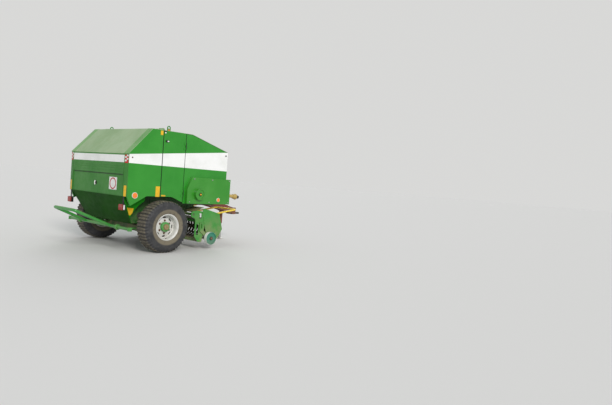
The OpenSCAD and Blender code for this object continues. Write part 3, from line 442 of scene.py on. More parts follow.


# Side panels: a white stripe, and painted shade along their joints
painted("side_green", GREEN, (42, 146, 34), dust=0.16, streaks=0.22, white=side_band,
        dark=seam_shadow)
painted("green", (38, 130, 36), (54, 142, 50))
painted("pickup_green", (40, 134, 38), (58, 146, 54), dust=0.7, dust_top=0.75,
        field=(guide_mask, (150, 134, 98)))
painted("cover_green", (42, 136, 26), (58, 145, 42), dust=0.2, dust_top=1.1)
# Rear panel: a white stripe, and a painted shadow under its step
painted("rear_green", (56, 125, 48), (72, 135, 62), rough=0.55, dust=0.1, streaks=0.3, coat=0.05,
        gloss=0.35, white=rear_band, dark=step_shadow)
# Lower panel: its green darkened as painted shade of sheets facing down; the cheeks keep the side's
# green
painted("lower_green", (14, 72, 0), (24, 84, 2), rough=0.6, dust=0.05, dust_top=0.7, streaks=0.08,
        coat=0.0, gloss=0.15, field=(cheek_mask, GREEN))
painted("frame_green", (36, 88, 34), (50, 104, 46), rough=0.5, dust=0.75, coat=0.05)
painted("kicker_green", (44, 138, 50), (64, 150, 66), dust_top=0.6)
painted("roof_dust", (142, 172, 128), (162, 186, 148), rough=0.7, dust=0.2, streaks=0.2, coat=0.0)
painted("rim_dust", (104, 158, 92), (128, 172, 114), rough=0.6, dust=0.2, coat=0.05)
painted("dark_red", (104, 34, 24), (124, 50, 36), rough=0.5, dust=0.55, coat=0.08)
painted("guard_yellow", (236, 200, 30), (244, 214, 60), dust=0.3, dust_top=0.7)
painted("teal", (26, 118, 96), (48, 134, 110), dust=0.25, dust_top=0.3, white=gauge_tread)
metal("steel", (128, 126, 120), (98, 96, 92), rust=0.5, dust=0.5)
metal("band_steel", (98, 96, 88), (72, 70, 64), rough=0.6, metallic=0.4, rust=0.6, dust=0.7)
metal("dark_steel", (74, 72, 68), (52, 50, 47), metallic=0.5, rust=0.6, dust=0.6)
metal("zinc", (186, 186, 182), (156, 157, 156), rough=0.34, rust=0.12, dust=0.3)
metal("chrome", (205, 206, 208), (188, 190, 194), rough=0.14, rust=0.0, dust=0.05)
metal("cast", (66, 68, 66), (50, 52, 51), rough=0.6, metallic=0.2, rust=0.3, dust=0.6)
metal("wheel_silver", (226, 226, 223), (203, 202, 197), metallic=0.1, rust=0.14, dust=0.3,
      dust_top=0.6)
rubber("tyre_rubber")
plastic("black", (18, 18, 19), (28, 28, 29), rough=0.5, dust=0.15)
plastic("shaft_guard", (196, 168, 96), (178, 150, 84), rough=0.5, dust=0.5)
plastic("sticker", (240, 190, 36), (230, 176, 32))
plastic("orange_tag", (238, 138, 34), (228, 124, 28))
plastic("white", (238, 238, 236), (224, 224, 220))
plastic("sign_red", (190, 28, 34), (176, 24, 30))
reflector_film("orange_lens", (240, 108, 14), (252, 140, 38))
reflector_film("red_lens", (122, 16, 16), (158, 34, 28))
plastic("marker_red", (206, 32, 34), (192, 28, 30), rough=0.35)
plastic("cap_tan", (150, 132, 92), (124, 108, 72), rough=0.6, dust=0.4)
metal("nut_rust", (128, 88, 66), (98, 70, 54), rough=0.6, metallic=0.4, rust=0.7)


# ---- mesh making


class Maker:
    """Collects the faces of one piece, in places counted from the axle."""

    def __init__(self):
        self.points = []
        self.faces = []

    def add(self, points, faces):
        start = len(self.points)
        self.points += [tuple(p) for p in points]
        self.faces += [tuple(start + i for i in f) for f in faces]

    def box(self, a, b, turn=None, about=None):
        """A block between two corners, in any order, turned about a place where asked."""
        xs, ys, zs = (sorted(pair) for pair in zip(a, b))
        corners = [Vector((x, y, z)) for x in xs for y in ys for z in zs]
        if turn is not None:
            pivot = Vector(about)
            corners = [turn @ (c - pivot) + pivot for c in corners]
        self.add(corners, [(0, 1, 3, 2), (4, 6, 7, 5), (0, 4, 5, 1),
                           (2, 3, 7, 6), (0, 2, 6, 4), (1, 5, 7, 3)])

    def prism(self, outline, near, far):
        """outline is a ring of points; near and far are offsets of its two copies."""
        count = len(outline)
        ring = [Vector(p) for p in outline]
        points = [p + Vector(near) for p in ring] + [p + Vector(far) for p in ring]
        faces = [tuple(range(count)), tuple(reversed(range(count, 2 * count)))]
        faces += [(i, i + count, (i + 1) % count + count, (i + 1) % count) for i in range(count)]
        self.add(points, faces)

    def lathe(self, profile, origin, axis, steps, closed=False):
        """profile: (radius, distance along axis). closed joins its last point to the first."""
        axis = Vector(axis).normalized()
        side = axis.orthogonal().normalized()
        across = axis.cross(side)
        origin = Vector(origin)
        count = len(profile)
        points = []
        for k in range(steps):
            angle = 2 * pi * k / steps
            out = side * cos(angle) + across * sin(angle)
            points += [origin + out * r + axis * a for r, a in profile]
        faces = []
        for k in range(steps):
            j = (k + 1) % steps
            for i in range(count if closed else count - 1):
                n = (i + 1) % count
                faces.append((k * count + i, k * count + n, j * count + n, j * count + i))
        self.add(points, faces)

    def solid(self, profile, origin, axis, steps):
        """A turned shape whose two ends are flat."""
        first, last = profile[0][1], profile[-1][1]
        self.lathe([(TIP, first), *profile, (TIP, last)], origin, axis, steps)

    def rod(self, start, end, radius, steps):
        start, end = Vector(start), Vector(end)
        self.solid([(radius, 0), (radius, (end - start).length)], start, end - start, steps)

    def tube(self, path, radius, steps):
        """A round tube that follows the path's points, its ring carried along without twist.

        radius is one number, or one for each point.
        """
        points = [Vector(p) for p in path]
        count = len(points)
        ways = [(points[min(i + 1, count - 1)] - points[max(i - 1, 0)]).normalized()
                for i in range(count)]
        side = ways[0].orthogonal().normalized()
        rings = []
        for i in range(count):
            side = (side - ways[i] * side.dot(ways[i])).normalized()
            over = ways[i].cross(side)
            r = radius[i] if isinstance(radius, (list, tuple)) else radius
            rings += [points[i] + (side * cos(t) + over * sin(t)) * r
                      for t in (2 * pi * k / steps for k in range(steps))]
        faces = []
        for a in range(0, (count - 1) * steps, steps):
            for k in range(steps):
                n = (k + 1) % steps
                faces.append((a + k, a + n, a + steps + n, a + steps + k))
        faces += [tuple(reversed(range(steps))), tuple(range((count - 1) * steps, count * steps))]
        self.add(rings, faces)

    def bolt(self, place, axis, radius, height):
        """A hexagon head on a washer."""
        rise, washer = 0.0015, 0.0018
        self.solid([(radius * 1.5, 0), (radius * 1.5, washer)], place, axis, 18)
        self.solid([(radius, rise), (radius, rise + height * 0.8), (radius * 0.82, rise + height)],
                   place, axis, 6)

    def plate(self, centre, right, width, height, thick=FILM, corner=0.006):
        """A thin upright plate with rounded corners; its back lies on the surface at centre."""
        right = Vector(right).normalized()
        ring = []
        for cx, cy, first in ((1, 1, 0), (-1, 1, 90), (-1, -1, 180), (1, -1, 270)):
            for k in range(6):
                t = radians(first + 18 * k)
                ring.append(Vector(centre)
                            + right * (cx * (width / 2 - corner) + corner * cos(t))
                            + UP * (cy * (height / 2 - corner) + corner * sin(t)))
        self.prism(ring, (0, 0, 0), right.cross(UP) * thick)

    def mesh(self, name):
        """The collected faces as a welded mesh in the frame's place."""
        mesh = bpy.data.meshes.new(name)
        mesh.from_pydata([(x + AXLE_X, y, z) for x, y, z in self.points], [], self.faces)
        work = bmesh.new()
        work.from_mesh(mesh)
        bmesh.ops.remove_doubles(work, verts=work.verts, dist=1e-6)
        bmesh.ops.dissolve_degenerate(work, dist=1e-6, edges=work.edges)
        bmesh.ops.recalc_face_normals(work, faces=work.faces)
        work.to_mesh(mesh)
        work.free()
        return mesh

    def piece(self, name, body, material, **looks):
        dress(self.mesh(name), name, body, material, **looks)


def soften(thing, width, angle):
    change = thing.modifiers.new("soften", "BEVEL")
    change.width = width
    change.segments = 2
    change.limit_method = "ANGLE"
    change.angle_limit = radians(angle)


def dress(mesh, name, body, material, bevel=0.0, sharp=38, stand_for=()):
    """Makes a mesh, already in the frame's place, a piece that rides on a body."""
    mesh.polygons.foreach_set("use_smooth", [True] * len(mesh.polygons))
    mesh.set_sharp_from_angle(angle=radians(sharp))
    mesh.materials.append(M[material])
    made = new_object(name, mesh)
    if bevel:
        soften(made, bevel, 40)
    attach(made, body)
    if stand_for:
        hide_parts(*stand_for)


def shading_group():
    """Geometry nodes that weld a CAD mesh and shade its curved faces smooth."""
    group = bpy.data.node_groups.new("weld_and_shade", "GeometryNodeTree")
    for way in ("INPUT", "OUTPUT"):
        group.interface.new_socket("Geometry", in_out=way, socket_type="NodeSocketGeometry")
    add = group.nodes.new
    start, end = add("NodeGroupInput"), add("NodeGroupOutput")
    clear = add("GeometryNodeRemoveAttribute")
    clear.inputs["Name"].default_value = "custom_normal"
    weld = add("GeometryNodeMergeByDistance")
    weld.inputs["Distance"].default_value = 0.00002
    faces = add("GeometryNodeSetShadeSmooth")
    faces.domain = "FACE"
    edges = add("GeometryNodeSetShadeSmooth")
    edges.domain = "EDGE"
    angle = add("GeometryNodeInputMeshEdgeAngle")
    gentle = add("FunctionNodeCompare")
    gentle.operation = "LESS_THAN"
    gentle.inputs["B"].default_value = radians(32)
    link = group.links.new
    link(angle.outputs["Unsigned Angle"], gentle.inputs["A"])
    link(gentle.outputs[0], edges.inputs["Shade Smooth"])
    row = (start, clear, weld, faces, edges, end)
    for before, after in zip(row, row[1:]):
        link(before.outputs[0], after.inputs[0])
    return group


# The CAD nodes under their material and the width of their softened edges
NODE_LOOKS = {
    ("frame_green", 0.0): "chamber_walls tail_walls",
    ("frame_green", 0.001): "twine_box",
    ("frame_green", 0.003): "axle",
    ("side_green", 0.0012): "side_panels door_right door_left tail_side_panels",
    ("roof_dust", 0.0012): "roof_front box_lid",
    ("roof_dust", 0.001): "tail_roof",
    ("green", 0.001): "front_panel",
    ("green", 0.0015): "lifting_eyes",
    ("cover_green", 0.0015): "chain_cover",
    ("rear_green", 0.0015): "rear_panel",
    # The lower panel: its green darkened as painted shade
    ("lower_green", 0.001): "lower_panel",
    ("pickup_green", 0.001): "pickup_frame",
    ("kicker_green", 0.001): "bale_kicker",
    ("kicker_green", 0.002): "hub_right hub_left",
    ("kicker_green", 0.003): "kicker_arms",
    ("teal", 0.002): "gauge_wheel_right gauge_wheel_left",
    ("guard_yellow", 0.0): "crop_guard_right crop_guard_left",
    ("dark_red", 0.004): "drawbar",
    ("dark_red", 0.001): "jack_tube",
    ("tyre_rubber", 0.0): "tyre_right tyre_left",
    ("wheel_silver", 0.0): "rim_right rim_left",
    ("steel", 0.0): "rollers_front rollers_rear",
    ("band_steel", 0.0): "pickup_bands",
    ("dark_steel", 0.0): "pickup_reel",
    ("dark_steel", 0.001): "feed_rotor",
    ("dark_steel", 0.003): "hitch_eye",
    ("cast", 0.004): "gearbox",
    ("zinc", 0.001): "jack_leg",
    ("chrome", 0.0005): "rod_right rod_left",
    ("black", 0.001): "barrel_right barrel_left",
    ("black", 0.002): "rear_lamps",
    ("white", 0.0008): "sign_plate",
    ("shaft_guard", 0.001): "pto_shaft",
}


def dress_nodes():
    """Gives the CAD nodes materials, smooth shading and, where asked, softened edges."""
    shade_group = shading_group()
    for (material, bevel), names in NODE_LOOKS.items():
        for name in names.split():
            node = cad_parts[name]
            node.data.materials.clear()
            node.data.materials.append(M[material])
            node.modifiers.new("shade", "NODES").node_group = shade_group
            if bevel:
                soften(node, bevel, 35)


# ---- wheels


def tyre_profile():
    """(radius, distance from the middle plane) from the outer bead over the tread to the inner."""
    low_wall = ((-0.0195, 0.1115), (0.001, 0.1215), (0.01, 0.132), (0.022, 0.1365),
                (0.034, 0.1385), (0.038, 0.14), (0.05, 0.1432), (0.066, 0.1452),
                (0.084, TYRE_HALF), (0.102, 0.1456), (0.106, 0.144), (0.116, 0.1436),
                (0.13, 0.1424))
    shoulder = ((0.064, 0.1405), (0.05, 0.1375), (0.04, 0.133), (0.031, 0.1285),
                (0.023, 0.1235), (0.0165, 0.1185), (0.011, 0.1135), (0.006, 0.1085))
    wall = [(RIM_R + r, y) for r, y in low_wall] + [(TYRE_R - r, y) for r, y in shoulder]
    edge, crown = 0.104, 0.0035
    tread = [(TYRE_R - crown * (y / edge) ** 2, y) for y in np.linspace(edge, -edge, 54)]
    return wall + tread + [(r, -y) for r, y in reversed(wall)]


def tread_depth(turn, along, radius):
    """How deep the tread is cut: the lugs' slots, a narrower slot in each lug and two grooves."""
    share = (turn * LUGS + 0.5) % 1.0
    pitch = 2 * pi * TYRE_R / LUGS
    slot, narrow = (SLOT_W / 2, LUG_H), (0.01, 0.012)
    depth = 0.0
    for centre, (half, deep) in ((0.5, slot), (0.0, narrow), (1.0, narrow)):
        off = abs(share - centre) * pitch
        depth = max(depth, deep * min(1, max(0, (half - off) / 0.003 + 0.5)))
    zigzag = 0.004 * (1 if share < 0.5 else -1)
    for groove in (-0.038, 0.038):
        off = abs(along - groove - zigzag)
        depth = max(depth, 0.011 * min(1, max(0, (0.006 - off) / 0.002)))
    return depth * min(1, max(0, (radius - TYRE_R + 0.05) / 0.03))


def make_tyre(side, tag):
    profile = tyre_profile()
    count = len(profile)
    around = LUGS * 24
    normals = []
    for i in range(count):
        a, b = profile[max(0, i - 1)], profile[min(count - 1, i + 1)]
        way = Vector((b[0] - a[0], b[1] - a[1])).normalized()
        normals.append((-way.y, way.x))
    points = []
    for k in range(around):
        turn = k / around
        c, s = cos(turn * 2 * pi), sin(turn * 2 * pi)
        for (r, y), n in zip(profile, normals):
            cut = tread_depth(turn, y, r)
            lower = r - abs(n[0]) * cut
            inward = y - copysign(abs(n[1]) * cut, y) if abs(n[1]) > 0.3 else y
            points.append((lower * c, side * (WHEEL_Y + inward), AXLE_Z + lower * s))
    faces = []
    for k in range(around):
        a, b = k * count, (k + 1) % around * count
        faces += [(a + i, a + (i + 1) % count, b + (i + 1) % count, b + i) for i in range(count)]
    work = Maker()
    work.add(points, faces)
    work.piece(f"tyre_{tag}_tread", f"wheel_{tag}", "tyre_rubber", sharp=40,
               stand_for=(f"tyre_{tag}",))


def cut_away(mesh, cutter):
    """The mesh less the cutter mesh, as a new mesh."""
    base, tool = new_object("uncut", mesh), new_object("cutter", cutter)
    change = base.modifiers.new("cut", "BOOLEAN")
    change.operation = "DIFFERENCE"
    change.solver = "EXACT"
    change.object = tool
    bpy.context.view_layer.update()
    cut = base.evaluated_get(bpy.context.evaluated_depsgraph_get())
    result = bpy.data.meshes.new_from_object(cut)
    for thing in (base, tool):
        bpy.data.objects.remove(thing)
    return result


def make_rim(side, tag):
    """A deep-set steel wheel: rolled lips, straight well and a dished disc with hand holes."""
    name, body = f"rim_{tag}_dish", f"wheel_{tag}"
    well = RIM_R - 0.0273
    seat = RIM_R - 0.0203
    flat = NUT_RING + 0.024
    disc = [(HUB_R + 0.0003, 0.03), (HUB_R + 0.0003, 0.038), (flat - 0.004, 0.038),
            (flat, 0.0375), (flat + 0.01, 0.0345), (well - 0.022, 0.0225),
            (well - 0.012, 0.02), (well - 0.004, 0.0205), (well, 0.024)]
    lip = [(well, 0.1), (well + 0.002, 0.1085), (well + 0.008, 0.1165),
           (RIM_R - 0.012, 0.1265), (RIM_R - 0.007, 0.13), (RIM_R - 0.002, 0.131),
           (RIM_R + 0.0015, 0.1298), (RIM_R + 0.002, 0.127), (RIM_R - 0.001, 0.1235),
           (RIM_R - 0.01, 0.1185), (seat, 0.1125)]
    back = [(r, -d) for r, d in reversed(lip)]
    back += [(well, 0.006), (well - 0.006, 0.0118), (well - 0.014, 0.012), (flat + 0.008, 0.0265)]
    work = Maker()
    work.lathe(disc + lip + back, (0, side * WHEEL_Y, AXLE_Z), (0, side, 0), 96, closed=True)
    holes = Maker()
    for i in range(8):
        angle = pi / 4 * i
        ring = []
        for k in range(24):
            t = 2 * pi * k / 24
            out = (flat + well) / 2 - 0.004 + 0.015 * sin(t)
            half = 0.016 * (1 if cos(t) > 0 else -1)
            turn = angle + (half + 0.015 * cos(t)) / out
            ring.append((out * cos(turn), 0, AXLE_Z + out * sin(turn)))
        holes.prism(ring, (0, side * (WHEEL_Y - 0.02), 0), (0, side * (WHEEL_Y + 0.075), 0))
    mesh = cut_away(work.mesh(name), holes.mesh(f"hand_holes_{tag}"))
    mesh.name = name
    dress(mesh, name, body, "wheel_silver", sharp=35, stand_for=(f"rim_{tag}",))
    valve = Maker()
    valve.tube([(0, side * (WHEEL_Y + y), AXLE_Z - well + z)
                for y, z in ((0.085, 0), (0.1, 0.01), (0.125, 0.014))],
               [0.006, 0.0045, 0.0035], 10)
    valve.piece(f"valve_{tag}", body, "black")


def make_hub(side, tag):
    """A turned hub with its flange, grease cap and six nuts on studs."""
    body = f"wheel_{tag}"
    centre, out = (0, side * WHEEL_Y, AXLE_Z), (0, side, 0)
    bore, flange = 0.03205, 0.122
    barrel = Maker()
    barrel.lathe([(bore, -0.11), (HUB_R - 0.003, -0.11), (HUB_R, -0.107), (HUB_R, 0.018),
                  (flange, 0.018), (flange, 0.0297), (HUB_R, 0.0297), (HUB_R, 0.076),
                  (HUB_R - 0.003, 0.081), (HUB_R - 0.009, 0.084), (0.046, 0.084), (bore, 0.084)],
                 centre, out, 64, closed=True)
    barrel.piece(f"hub_{tag}_barrel", body, "kicker_green", sharp=35, stand_for=(f"hub_{tag}",))
    cap = Maker()
    cap.lathe([(0.05, 0.0835), (0.05, 0.088), (0.046, 0.09), (0.0455, 0.104), (0.042, 0.11),
               (0.034, 0.1125), (TIP, 0.113)], centre, out, 48)
    cap.piece(f"hub_{tag}_cap", body, "cap_tan", sharp=40)
    nuts = Maker()
    for i in range(6):
        angle = pi / 3 * (i + 0.5)
        place = (NUT_RING * cos(angle), side * (WHEEL_Y + 0.038),
                 AXLE_Z + NUT_RING * sin(angle))
        nuts.solid([(0.0185, 0), (0.0185, 0.003)], place, out, 20)
        nuts.solid([(0.014, 0.002), (0.014, 0.0135), (0.0118, 0.0165)], place, out, 6)
        nuts.solid([(0.008, 0.01), (0.008, 0.022), (0.0065, 0.024)], place, out, 14)
    nuts.piece(f"wheel_nuts_{tag}", body, "nut_rust", sharp=30)


# ---- signs, reflectors and lamps


def post_place(side, z):
    """The middle of a rear corner post's face, and the directions across it and out of it."""
    middle = HALF_W - POST_W + POST_W / 2
    across = Vector((POST_LEAN, side * POST_W, 0)).normalized()
    out = Vector((-POST_W, side * POST_LEAN, 0)).normalized()
    return Vector((REAR_X + POST_LEAN / 2, side * middle, z)), across * -side, out


def make_stickers(side, tag):
    ahead = (-side, 0, 0)
    skin = side * (HALF_W + LIFT)
    work = Maker()
    work.plate((SEAM_X - 0.052, skin, 0.985), ahead, 0.078, 0.17)
    work.plate((SEAM_X - 0.038, skin, TOP_Z - 0.048), ahead, 0.048, 0.07)
    place, across, out = post_place(side, 0.972)
    work.plate(place + out * LIFT, across, 0.056, 0.17)
    work.piece(f"yellow_stickers_{tag}", "tailgate", "sticker")
    low = Maker()
    low.plate((SEAM_X + 0.06, skin, 0.922), ahead, 0.08, 0.022, corner=0.003)
    low.piece(f"small_sticker_{tag}", "chassis", "sticker")
    # Five-sided yellow sticker on the slanted sheet beside the wheel
    lean = Vector((0, side * (HALF_W - POST_W - GATE_LOW.y), POST_FOOT_Z - GATE_LOW.z)).normalized()
    foot = Vector((0, side * GATE_LOW.y, GATE_LOW.z))
    away = Vector((0, side * lean.z, -abs(lean.y)))
    ring = [foot + lean * up + Vector((x, 0, 0)) + away * 0.0003
            for x, up in ((-0.54, 0.275), (-0.42, 0.262), (-0.425, 0.19), (-0.455, 0.145),
                          (-0.48, 0.15))]
    sheet = Maker()
    sheet.prism(ring, (0, 0, 0), away * 0.0015)
    sheet.piece(f"cheek_sticker_{tag}", "tailgate", "sticker")
    eye_low, eye_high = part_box("lifting_eyes")
    eye_tag = Maker()
    eye_tag.plate((eye_low.x / 2 + eye_high.x / 2 - AXLE_X, side * eye_high.y, TOP_Z + 0.012),
                  ahead, 0.04, 0.02, corner=0.004)
    eye_tag.piece(f"eye_tag_{tag}", "chassis", "orange_tag")


def reflector(name, body, place, side, radius):
    """A round reflector: pale rim, domed lens."""
    out = (0, side, 0)
    rim = Maker()
    rim.solid([(radius, 0), (radius, 0.006), (radius * 0.96, 0.009), (radius * 0.88, 0.0095),
               (radius * 0.86, 0.006)], place, out, 40)
    rim.piece(name + "_rim", body, "white")
    lens = Maker()
    lens.lathe([(radius * 0.86, 0.005), (radius * 0.84, 0.0085), (radius * 0.5, 0.0105),
                (TIP, 0.0115)], place, out, 40)
    lens.piece(name + "_lens", body, "orange_lens")


def make_reflectors(side, tag):
    reflector(f"rear_reflector_{tag}", "tailgate", (-0.505, side * HALF_W, 0.91), side, 0.05)
    skin = HALF_W + (COVER_D if side < 0 else 0)
    reflector(f"front_reflector_{tag}", f"{tag}_door", (1.157, side * skin, 0.88), side, 0.0375)
    # Chequered marker on the rear corner post, with a plain red foot
    red, pale = Maker(), Maker()
    for row in range(5):
        for column in (-1, 1):
            place, across, out = post_place(side, 1.522 - 0.026 * row)
            red_cell = row >= 4 or (row + (column > 0)) % 2 == 0
            spot = place + across * (0.019 * column) + out * 0.0004
            (red if red_cell else pale).plate(spot, across, 0.0375, 0.0255, 0.0014, corner=0.001)
    red.piece(f"corner_marker_red_{tag}", "tailgate", "marker_red")
    pale.piece(f"corner_marker_white_{tag}", "tailgate", "white")


def make_sign():
    """The speed sign's blank disc: a red ring on the white plate."""
    low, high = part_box("sign_plate")
    y, z = (low.y + high.y) / 2, (low.z + high.z) / 2
    back = (-1, 0, 0)
    inner, outer = 0.074, 0.092
    ring = Maker()
    ring.lathe([(inner, 0), (outer, 0), (outer, FILM), (inner, FILM)], (SIGN_X, y, z), back, 56,
               closed=True)
    ring.piece("sign_ring", "tailgate", "sign_red")
    screws = Maker()
    for dy in (-0.102, 0.102):
        for dz in (-0.09, 0.09):
            screws.lathe([(0.0045, 0), (0.004, 0.002), (TIP, 0.0025)], (SIGN_X, y + dy, z + dz),
                         back, 12)
    screws.piece("sign_screws", "tailgate", "zinc")


def make_lamps():
    """Rear lamps: black housings on brackets, ribbed dark red lenses and a pale side light."""
    low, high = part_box("rear_lamps")
    back = low.x - AXLE_X
    front, top = back + 0.054, 0.766
    inner, outer = HALF_W - 0.138, HALF_W - 0.03
    for side, tag in SIDES:
        base = Maker()
        base.box((back + 0.014, side * inner, low.z), (front, side * outer, top))
        base.box((back + 0.04, side * (inner + 0.044), top - 0.001),
                 (back + 0.044, side * (inner + 0.084), high.z))
        base.piece(f"lamp_base_{tag}", "tailgate", "black", bevel=0.003,
                   stand_for=("rear_lamps",) if side < 0 else ())
        lens = Maker()
        lens.box((back + 0.001, side * (inner + 0.003), low.z + 0.003),
                 (back + 0.015, side * (outer - 0.003), top - 0.003))
        for k in range(1, 8):
            y = inner + (outer - inner) * k / 8
            lens.box((back, side * (y - 0.0012), low.z + 0.006),
                     (back + 0.002, side * (y + 0.0012), top - 0.006))
        lens.piece(f"lamp_lens_{tag}", "tailgate", "red_lens", bevel=0.002)
        pale = Maker()
        pale.plate((back + 0.034, side * outer, (low.z + top) / 2), (-side, 0, 0), 0.022, 0.074,
                   0.003)
        pale.piece(f"lamp_side_{tag}", "tailgate", "white")


# ---- pickup, kicker and drive shaft


def aside(y):
    return Vector((0, y, 0))


def make_reel():
    """Spring tines on their bars: each with a coil round the bar and a straight finger."""
    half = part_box("pickup_reel")[1].y
    bar_half, ring, coil_r, rows = 0.9, 0.11, 0.0155, 24
    arm_half = half - 0.01
    pitch = 2 * arm_half / rows
    bars, tines = Maker(), Maker()
    bars.rod(REEL + aside(-half), REEL + aside(half), 0.022, 24)
    for y in (-bar_half, -0.004, bar_half - 0.008):
        bars.rod(REEL + aside(y), REEL + aside(y + 0.008), ring + 0.018, 40)
    for i in range(4):
        angle = -i * pi / 2
        out = Vector((cos(angle), 0, sin(angle)))
        back = Vector((-sin(angle), 0, cos(angle)))
        middle = REEL + out * ring
        bars.rod(middle + aside(-bar_half), middle + aside(bar_half), 0.013, 14)
        for k in range(1, rows):
            y = -arm_half + k * pitch
            path = []
            for j in range(15):
                t = 2 * pi * j / 7 + pi / 2
                path.append(middle + out * (coil_r * cos(t)) + back * (coil_r * sin(t))
                            + aside(y - 0.004 + 0.0008 * j))
            tip = middle + aside(y)
            path += [tip + out * s + back * b
                     for s, b in ((0.03, 0.012), (0.06, 0.006), (0.09, 0.001), (0.114, -0.004))]
            tines.tube(path, 0.0032, 5)
    bars.piece("reel_bars", "reel", "dark_steel", stand_for=("pickup_reel",))
    tines.piece("reel_tines", "reel", "dark_steel")


def bend_path(points, radius, steps=6):
    """A path through points whose corners are rounded."""
    path = [Vector(points[0])]
    for a, b, c in zip(points, points[1:], points[2:]):
        a, b, c = Vector(a), Vector(b), Vector(c)
        u, v = (a - b).normalized(), (c - b).normalized()
        path += [b + u * radius * (1 - t) ** 2 + v * radius * t ** 2
                 for t in (k / steps for k in range(steps + 1))]
    return path + [Vector(points[-1])]


def make_crop_guard(side, tag):
    inner, outer = side * 0.3, side * 0.844
    tube_x, tube_z, front_x, front_z = 1.165, 0.612, 1.72, 0.7
    start_x = tube_x + 0.026
    start_z = tube_z + (front_z - tube_z) * 0.047
    bore, boss_r, half = 0.0203, 0.03, 0.015
    work = Maker()
    work.tube(bend_path([(start_x, inner, start_z), (front_x, inner, front_z),
                         (front_x, outer, front_z), (start_x, outer, start_z)], 0.045),
              0.016, 20)
    for y in (inner, outer):
        work.lathe([(bore, -half), (boss_r, -half), (boss_r, half), (bore, half)],
                   (tube_x, y, tube_z), (0, 1, 0), 32, closed=True)
    work.piece(f"guard_bow_{tag}", f"guard_{tag}", "guard_yellow", sharp=50,
               stand_for=(f"crop_guard_{tag}",))


def make_kicker():
    """The kicker's bent tube frame and the cross tube with its end blocks."""
    foot, bar = Vector((-0.58, 0.39, 0.38)), Vector((-1.16, 0.325, 0.62))
    radius, reach = 0.025, 0.93
    work = Maker()
    work.rod((foot.x, -reach, foot.z), (foot.x, reach, foot.z), radius, 32)
    for side in (-1, 1):
        work.box((foot.x - 0.034, side * (reach - 0.001), foot.z - 0.03),
                 (foot.x + 0.034, side * (reach + 0.024), foot.z + 0.03))
    flip = Vector((1, -1, 1))
    work.tube(bend_path([foot, bar, bar * flip, foot * flip], 0.045, 8), radius, 24)
    work.piece("kicker_frame", "kicker", "kicker_green", bevel=0.002, sharp=50,
               stand_for=("bale_kicker",))


def make_shaft():
    """The drive shaft: guard tubes, ribbed cones, cross joint and yokes."""
    a, b = Vector((1.66, 0, 0.97)), Vector((2.53, 0, 0.9))
    way = (b - a).normalized()
    length = (b - a).length
    guard = Maker()
    guard.lathe([(0.0355, 0.06), (0.038, 0.062), (0.038, 0.45), (0.035, 0.453),
                 (0.035, length - 0.062), (0.033, length - 0.06), (0.0325, 0.06)],
                a, way, 32, closed=True)
    for start, turn in ((0.06, 1), (length - 0.06, -1)):
        cone = [(0.062, 0.0)]
        for k in range(5):
            narrow, along = 0.0035 * k, 0.016 * k
            cone += [(0.0605 - narrow, 0.006 + along), (0.0575 - narrow, 0.014 + along)]
        cone += [(0.0385, 0.08), (0.0365, 0.08), (0.058, 0.0)]
        guard.lathe([(r, start + turn * d) for r, d in cone], a, way, 36, closed=True)
    guard.piece("shaft_guard_tubes", "drive_shaft", "shaft_guard", sharp=30,
                stand_for=("pto_shaft",))
    yokes = Maker()
    yokes.lathe([(TIP, -0.018), (0.024, -0.018), (0.03, -0.012), (0.03, 0.014), (0.024, 0.024),
                 (0.024, 0.052), (TIP, 0.062)], a, way, 28)
    yokes.rod(a + aside(-0.046), a + aside(0.046), 0.012, 24)
    far_end = [(0.0174, -0.05), (TIP, -0.05), (TIP, -0.07), (0.028, -0.07), (0.034, -0.06),
               (0.034, 0.02), (0.0174, 0.02)]
    yokes.lathe([(r, length + d) for r, d in far_end], a, way, 32)
    yokes.piece("shaft_yokes", "drive_shaft", "dark_steel", sharp=35)


# ---- small parts of the body


def make_roof_edges():
    """Folded strips along the roof's sides, with a bright line beside them."""
    slope = Vector((RIDGE_X - REAR_X, 0, TOP_Z - SLOPE_LOW_Z))
    tilt = Matrix.Rotation(-atan2(slope.z, slope.x), 3, "Y")
    corner = (REAR_X, 0, SLOPE_LOW_Z)
    fold = HALF_W - 0.12, HALF_W - 0.0005, 0.0012
    line = HALF_W - 0.126, HALF_W - 0.118, 0.004
    tail, front = Maker(), Maker()
    for side in (-1, 1):
        for inner, outer, rise in (fold, line):
            tail.box((RIDGE_X + 0.002, side * inner, TOP_Z - 0.001),
                     (-0.112, side * outer, TOP_Z + rise))
            tail.box((REAR_X + 0.001, side * inner, SLOPE_LOW_Z - 0.001),
                     (REAR_X + slope.length - 0.002, side * outer, SLOPE_LOW_Z + rise),
                     tilt, corner)
        inner, outer, rise = fold
        front.box((0.112, side * inner, TOP_Z - 0.001),
                  (BEND_X - 0.045, side * outer, TOP_Z + rise))
    tail.piece("roof_seams_tail", "tailgate", "rim_dust", bevel=0.0005)
    front.piece("roof_seams_front", "chassis", "rim_dust", bevel=0.0005)


def make_rear_fittings():
    """Pressed beads of the upper rear panel, and the latch in the lower one."""
    edge = HALF_W - POST_W - GROOVE - 0.03
    bead = ((0.0005, -0.006), (-0.003, -0.002), (-0.003, 0.002), (0.0005, 0.006))
    beads = Maker()
    for z in (1.278, 1.326, 1.362):
        beads.prism([(REAR_X + dx, 0, z + dz) for dx, dz in bead], (0, -edge, 0), (0, edge, 0))
    beads.piece("rear_beads", "tailgate", "rear_green", sharp=25)
    step_x = REAR_X + REAR_STEP
    dish = Maker()
    dish.solid([(0.034, 0), (0.034, 0.003), (0.029, 0.006), (0.01, 0.006), (0.01, 0.018)],
               (step_x, 0.035, 1.055), (-1, 0, 0), 32)
    dish.piece("rear_latch_dish", "tailgate", "black", sharp=35)
    handle = Maker()
    handle.tube(bend_path([(step_x - 0.014, 0.034, 1.09), (step_x - 0.021, 0.034, 1.058),
                           (step_x - 0.014, 0.034, 1.022)], 0.014), 0.0085, 12)
    handle.piece("rear_latch_handle", "tailgate", "white", sharp=45)


